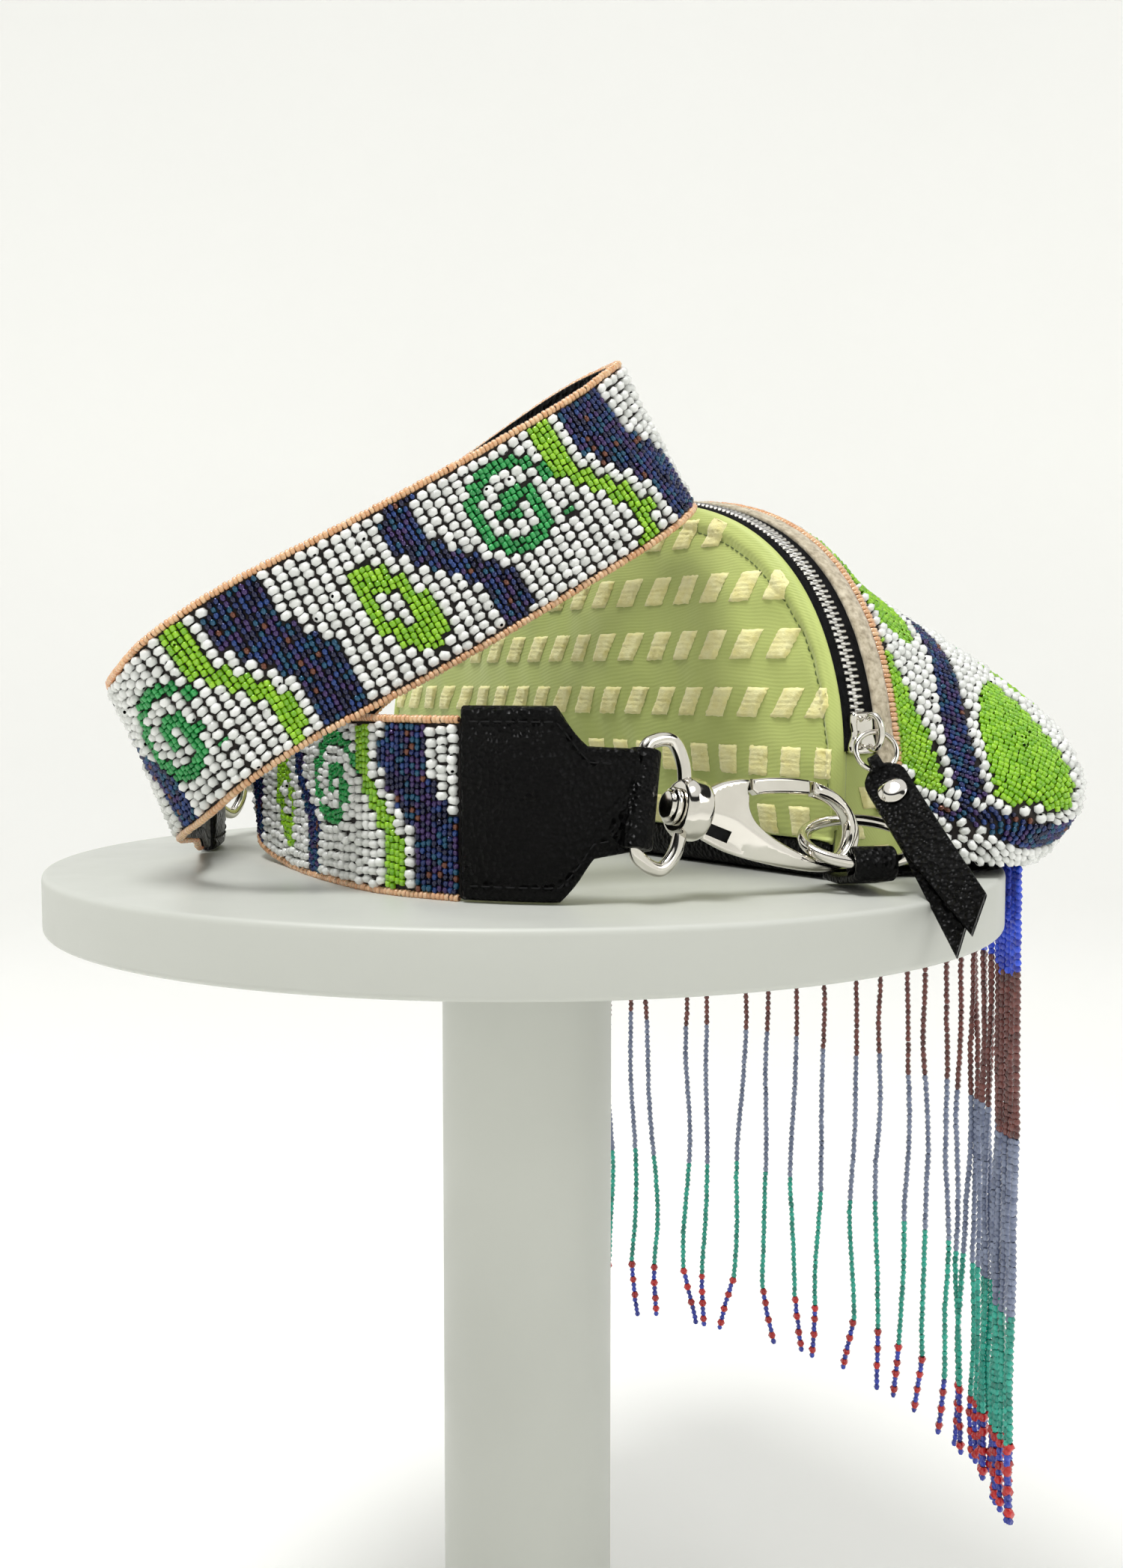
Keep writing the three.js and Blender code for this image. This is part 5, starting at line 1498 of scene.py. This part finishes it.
def make_hook_body(matrix):
    """Cast body with round edges, a ridge along its face and a small slot in its neck, whose floor is painted
    shade in the near-black thread material.
    """
    outline = outline_of(BODY_RUNS)
    corners = np.array(SLOT["corners"], float)
    steps = np.linspace(0, 1, 9)[:-1, None]
    slot = np.vstack([corners[k] + (corners[k - 3] - corners[k]) * steps for k in range(4)])
    flat, triangles = hook_net(outline, slot)
    clear = off_outline(flat, outline)
    ridge = smooth_run(RIDGE, 81)
    off, side = nearest_segment(flat, ridge[:-1], ridge[1:])
    slope = np.where(side > 0, RIDGE_FACE["inside"], RIDGE_FACE["outside"])
    rounded = np.sqrt(1 - (1 - ease(clear, 0, RIDGE_FACE["rounding"])) ** 2)
    front = rounded * np.maximum(RIDGE_FACE["peak"] - slope * off, RIDGE_FACE["least"])
    back = -rounded * RIDGE_FACE["back"]
    count = len(flat)
    back_index = np.where(clear < 1e-4, np.arange(count), np.arange(count) + count)
    in_slot = inside_outline(flat[triangles].mean(1), slot)
    faces = triangles[~in_slot].tolist() + back_index[triangles][:, ::-1].tolist()
    points = np.vstack([np.column_stack([flat, front]), np.column_stack([flat, back])])
    lip = [int(np.argmin(np.sum((flat - place) ** 2, 1))) for place in slot]
    floor = points[lip] - UP * SLOT["deep"]
    start = len(points)
    total = len(lip)
    walls = [[lip[k], lip[(k + 1) % total], start + (k + 1) % total, start + k] for k in range(total)]
    faces = faces + walls + [list(range(start, start + total))]
    # Only the slot's floor takes the second, near-black material: painted shade where the real floor is
    # nickel
    shades = [0] * (len(faces) - 1) + [1]
    points = placed(np.vstack([points, floor]), matrix)
    body = make_object("hook_body_polished", points, faces, [NICKEL, BLACK_THREAD_AND_SHADE], shades)
    add_modifier(body, "EDGE_SPLIT", split_angle=math.radians(50))
    finish_piece(body, "nickel", "hook_body")


def plate_object(name, outlines, thickness, rounding, matrix):
    """Plate with rounded edges, from a filled flat curve with a bevel."""
    curve = bpy.data.curves.new(f"{name}_outline", "CURVE")
    curve.dimensions = "2D"
    curve.fill_mode = "BOTH"
    for outline in outlines:
        spline = curve.splines.new("POLY")
        spline.points.add(len(outline) - 1)
        flat = np.column_stack([outline * MM, np.zeros(len(outline)), np.ones(len(outline))])
        spline.points.foreach_set("co", flat.ravel())
        spline.use_cyclic_u = True
    curve.extrude = (thickness / 2 - rounding) * MM
    curve.bevel_depth = rounding * MM
    curve.bevel_resolution = 4
    curve.offset = -rounding * MM
    holder = bpy.data.objects.new(f"{name}_outline", curve)
    bpy.context.scene.collection.objects.link(holder)
    mesh = bpy.data.meshes.new_from_object(holder.evaluated_get(bpy.context.evaluated_depsgraph_get()))
    points = np.array([vertex.co for vertex in mesh.vertices], float) / MM
    faces = [list(face.vertices) for face in mesh.polygons]
    bpy.data.objects.remove(holder)
    bpy.data.curves.remove(curve)
    bpy.data.meshes.remove(mesh)
    obj = make_object(name, placed(points, matrix), faces, [NICKEL])
    add_modifier(obj, "EDGE_SPLIT", split_angle=math.radians(40))
    return obj


# Leather ends of the strap

def tab_profile(width, wall):
    """Section of a padded tab: a rolled edge, a sewn groove inside it and a crowned middle."""
    side = [(width / 2 * place, wall / 2 * height) for place, height in TAB_SECTION]
    upper = side + [(-x, y) for x, y in side[-2::-1]]
    lower = [(x, -y) for x, y in upper[-2:0:-1]]
    return np.array(upper + lower)


def make_tab(rows, hook, end):
    """Padded leather end that folds round the bar of a hook's loop, with four rows of stitches."""
    matrix = hook_matrix(hook)
    bar = placed([[LOOP_BAR, 0, 0]], matrix)[0]
    table = np.array(rows + [(*(bar - LAID), TAB_FOLD["width"], TAB_FOLD["wall"])], float)
    run = lengths_along(table[:, :3])
    places = np.linspace(0, run[-1], 90)
    centres = laid(through(table[:, :3], np.interp(places, run, np.linspace(0, 1, len(run)))))
    widths, walls = read_at(places, run, table[:, 3:]).T
    tangents = tangents_of(centres)
    across = unit(UP - tangents * tangents[:, 2:])
    out = np.cross(tangents, across)
    profiles = np.stack([tab_profile(width, wall) for width, wall in zip(widths, walls)])
    profiles[:len(TAB_START), :, 1] *= TAB_START[:, None]
    half, bore, outer = TAB_FOLD["width"] / 2, TAB_FOLD["bore"], TAB_FOLD["outer"]
    turn, _ = turned_about(matrix, ALONG_B)
    fold_corners = [(bore, -half), (outer, -half), (outer, half), (bore, half)]
    fold_profile = rounded_profile(fold_corners, TAB_FOLD["edge"])
    parts = [sweep(centres, across, out, profiles), lathe(fold_profile, 40, (turn, bar))]
    name = f"strap_tab_{end}"
    add_piece(f"{name}_leather", merge_parts(parts), LEATHER, "black_leather", name)
    stitches = []
    sewn, pitch, length = TAB_STITCH["rows"], TAB_STITCH["pitch"], TAB_STITCH["length"]
    aside = across * (widths / 2 - TAB_STITCH["inset"])[:, None]
    lift = out * (walls / 2 * TAB_STITCH["height"])[:, None]
    for face in (-1, 1):
        for side in (-1, 1):
            line = centres + side * aside + face * lift
            stitches.extend(stitch_parts(line[sewn], face * out[sewn], pitch, length))
    add_piece(f"{name}_stitches", merge_parts(stitches), BLACK_THREAD_AND_SHADE, "black_leather")


# Rings and their tabs, in a frame at each lower corner of the bag: out of it, aside and up

def make_ring_sets():
    for row in RING_SETS:
        out = unit(np.array([*row["way"], 0.0]))
        matrix = matrix_of(out, np.cross(UP, out), UP, laid([*row["corner"], 0]))
        make_ring(row, matrix)
        make_ring_tab(row, matrix)


def make_ring(row, matrix):
    spoke = unit(np.array([row["lie"][0], 0.0, row["lie"][1]]))
    centre = np.array([row["reach"], 0.0, RING_TAB["fold"]]) + spoke * RING["half_short"]
    line = oval(centre, (0.0, RING["half_long"], 0.0), spoke * RING["half_short"], 120)
    points, faces = wire(line, RING["wire"], 18, closed=True)
    name = f"ring_{row['end']}"
    add_piece(f"{name}_polished", (placed(points, matrix), faces), NICKEL, "nickel", name)


def make_ring_tab(row, matrix):
    """Leather strap that lies on the stand and folds round the ring."""
    reach, start = row["reach"], row["start"]
    radius = (RING_TAB["outer"] + RING_TAB["bore"]) / 2
    wall = RING_TAB["outer"] - RING_TAB["bore"]
    turn = np.linspace(*RING_TAB["wrap"], 40)
    arc = np.stack([reach + radius * np.cos(turn), 0 * turn, RING_TAB["fold"] + radius * np.sin(turn)], 1)
    flat = np.array([[start, 0, RING_TAB["start_up"]], [(start + reach) / 2, 0, RING_TAB["middle_up"]]])
    line = even(np.vstack([flat, arc]), 0.8)
    across = np.tile([0.0, 1.0, 0.0], (len(line), 1))
    profile = rounded_box(RING_TAB["width"], wall, RING_TAB["edge"], 3)
    points, faces = sweep(line, across, np.cross(across, tangents_of(line)), profile)
    name = f"ring_tab_{row['end']}"
    add_piece(f"{name}_leather", (placed(points, matrix), faces), LEATHER, "black_leather", name)


# Slider and pull

def slider_matrix():
    """The slider's place in the bag's frame: along the zip, into its depth and up."""
    _, out = arch_line(0.0, SLIDER["degrees"] - 0.5, SLIDER["degrees"] + 0.5, 0.2)
    up = out[len(out) // 2]
    depth = np.array([0.0, -1.0, 0.0])
    middle = arch_point(np.array([SLIDER["degrees"]]), sum(TEETH_DEPTH) / 2)[0]
    return matrix_of(np.cross(depth, up), depth, up, middle + up * (GAP + SLIDER["height"] / 2))


def make_slider():
    """Waisted slider body with a rounded top, and the bail that carries the pull's ring."""
    loops = []
    for along, width, height in smooth_run(SLIDER_STATIONS, 25):
        outline = rounded_box(SLIDER["width"] * width, SLIDER["height"] * height, SLIDER["edge"])
        loops.append(np.column_stack([np.full(len(outline), along * SLIDER["length"] / 2), outline]))
    past = BAIL["past_half"]
    turn = np.linspace(-past * math.pi, (1 + past) * math.pi, 40)
    radius = BAIL["radius"]
    bail = np.stack([BAIL["stretch"] * radius * np.cos(turn), 0 * turn, BAIL_UP + radius * np.sin(turn)], 1)
    points, faces = merge_parts([skin(np.array(loops)), wire(bail, BAIL["wire"], 12)])
    points = from_bag(placed(points, slider_matrix()))
    add_piece("zip_slider_polished", (points, faces), NICKEL, "nickel", "zip_slider")


def make_pull():
    """Leather strip folded through its ring, its two ends apart, with a dome rivet."""
    down = unit(PULL_END - PULL_TOP)
    across = unit(PULL_ACROSS - down * PULL_ACROSS.dot(down))
    front = np.cross(down, across)
    matrix = matrix_of(across, front, down, laid(PULL_TOP))
    length = np.linalg.norm(PULL_END - PULL_TOP)
    layer = PULL["wall"] / 2 + GAP
    eye, wide, neck = PULL_EYE, PULL["width"], PULL["neck"]
    to_eye = [(layer, length * PULL["split"], wide), (layer, eye["closed"], wide),
              (eye["belly_out"], eye["belly"], neck), (eye["tip_out"], eye["tip"], neck)]
    from_eye = [(-out, along, width) for out, along, width in reversed(to_eye)]
    front_end = (layer + PULL["spread"], length - 2 * PULL["spread"], wide)
    read = smooth_run([front_end] + to_eye + [(0, 0, neck)] + from_eye + [(-layer, length, wide)], 161)
    line = np.column_stack([0 * read[:, 0], read[:, :2]])
    sideways = np.tile([1.0, 0.0, 0.0], (len(line), 1))
    widths = np.clip(read[:, 2], neck, wide)
    profiles = np.stack([rounded_box(width, PULL["wall"], PULL["edge"], 3) for width in widths])
    points, faces = sweep(line, sideways, np.cross(tangents_of(line), sideways), profiles)
    slant = ease(points[:, 2] / length, PULL["slant_from"], 1 - PULL["slant_from"])
    tail = ease(points[:, 2] / length, PULL["split"], 1 - PULL["split"])
    aside = np.where(np.arange(len(points)) < len(points) // 2, PULL["front_aside"], PULL["back_aside"])
    points[:, 2] -= slant * PULL["slant"] * (points[:, 0] + wide / 2)
    points[:, 0] = points[:, 0] * (1 - PULL["narrowing"] * tail) + aside * tail
    add_piece("zip_pull_leather", (placed(points, matrix), faces), LEATHER, "black_leather", "zip_pull")
    radius, rise = RIVET["radius"], RIVET["rise"]
    corners = [(0, rise), (radius * 0.6, rise * 0.92), (radius, rise * 0.3), (radius, 0), (0, 0)]
    seat = placed([[0, layer + PULL["wall"] / 2 + RIVET["lift"], PULL["rivet_at"]]], matrix)[0]
    rivet = lathe(rounded_profile(corners, RIVET["edge"]), 48, matrix_of(across, down, front, seat))
    add_piece("pull_rivet_dome", rivet, NICKEL, "nickel", "pull_rivet")
    make_pull_ring(across, down)


def make_pull_ring(across, down):
    """Wire ring through the slider's bail and the pull's eye."""
    bail = from_bag(placed([[0, 0, BAIL_UP]], slider_matrix()))[0]
    inside = laid(PULL_TOP + down * PULL["inside"])
    radius = np.linalg.norm(inside - bail) / 2
    hang = unit(inside - bail)
    into = from_bag([[0, -1, 0]])[0] - from_bag([[0, 0, 0]])[0]
    flat = into + across * 2
    flat = unit(flat - hang * flat.dot(hang))
    line = oval((bail + inside) / 2, flat * radius, hang * radius)
    ring = wire(line, PULL_RING_WIRE, closed=True)
    add_piece("zip_pull_ring_wire", ring, NICKEL, "nickel", "zip_pull_ring")


# Camera, light and stage

def make_camera():
    camera = bpy.data.cameras.new("camera")
    camera.lens = CAMERA_LENS
    camera.sensor_width = CAMERA_SENSOR
    camera.clip_start = 0.01
    holder = bpy.data.objects.new("camera", camera)
    holder.location = [value * MM for value in CAMERA_PLACE]
    holder.rotation_euler = (math.radians(90 - CAMERA_PITCH), 0, 0)
    bpy.context.scene.collection.objects.link(holder)
    bpy.context.scene.camera = holder


def make_stage():
    """Pale round floor that curves up into a wall."""
    turn = np.linspace(0, math.pi / 2, 24)
    radius = STAGE["bend_radius"]
    bend = np.stack([STAGE["floor_radius"] + radius * np.sin(turn), radius - radius * np.cos(turn)], 1)
    profile = np.vstack([[0.0, 0.0], bend, [STAGE["floor_radius"] + radius, STAGE["top"]]])
    material = mottled("stage_paper", [(0.3, (243, 243, 240)), (0.7, (246, 246, 243))], 0.8,
                       Roughness=0.95, Specular_IOR_Level=0.1, **STAGE_GLOW)
    make_object("stage", *lathe(profile, 128), [material])


def add_light(name, place, size, power):
    """Round area light that points at the bag."""
    light = bpy.data.lights.new(name, "AREA")
    light.shape = "DISK"
    light.size = size
    light.energy = power
    holder = bpy.data.objects.new(name, light)
    holder.location = place
    direction = np.array(LIGHT_AIM) - np.array(place)
    yaw = math.atan2(direction[1], direction[0])
    pitch = math.acos(-direction[2] / np.linalg.norm(direction))
    holder.rotation_euler = (pitch, 0, yaw - math.pi / 2)
    bpy.context.scene.collection.objects.link(holder)


def make_light():
    """Soft light from above, with a dark band round it that the polished metal picks up."""
    world = bpy.data.worlds.new("studio")
    world.use_nodes = True
    background = world.node_tree.nodes["Background"]
    background.inputs["Strength"].default_value = WORLD_STRENGTH
    split = node(world, "ShaderNodeSeparateXYZ")
    shades = ramp(world, WORLD_SHADES)
    link(world, node(world, "ShaderNodeTexCoord"), "Generated", split, "Vector")
    link(world, split, "Z", shades, "Fac")
    link(world, shades, "Color", background, "Color")
    bpy.context.scene.world = world
    bpy.context.scene.view_settings.view_transform = "Standard"
    for light in LIGHTS:
        add_light(**light)


make_camera()
make_stage()
make_light()
make_stand()
make_back()
make_gussets()
make_zip_tape()
make_zip_teeth()
make_linen_trim()
make_piping()
make_front()
make_base()
make_fringe()
make_strap()
make_near_hook()
make_far_hook()
make_tab(TAB_NEAR, HOOK_NEAR, "near")
make_tab(TAB_FAR, HOOK_FAR, "far")
make_ring_sets()
make_slider()
make_pull()
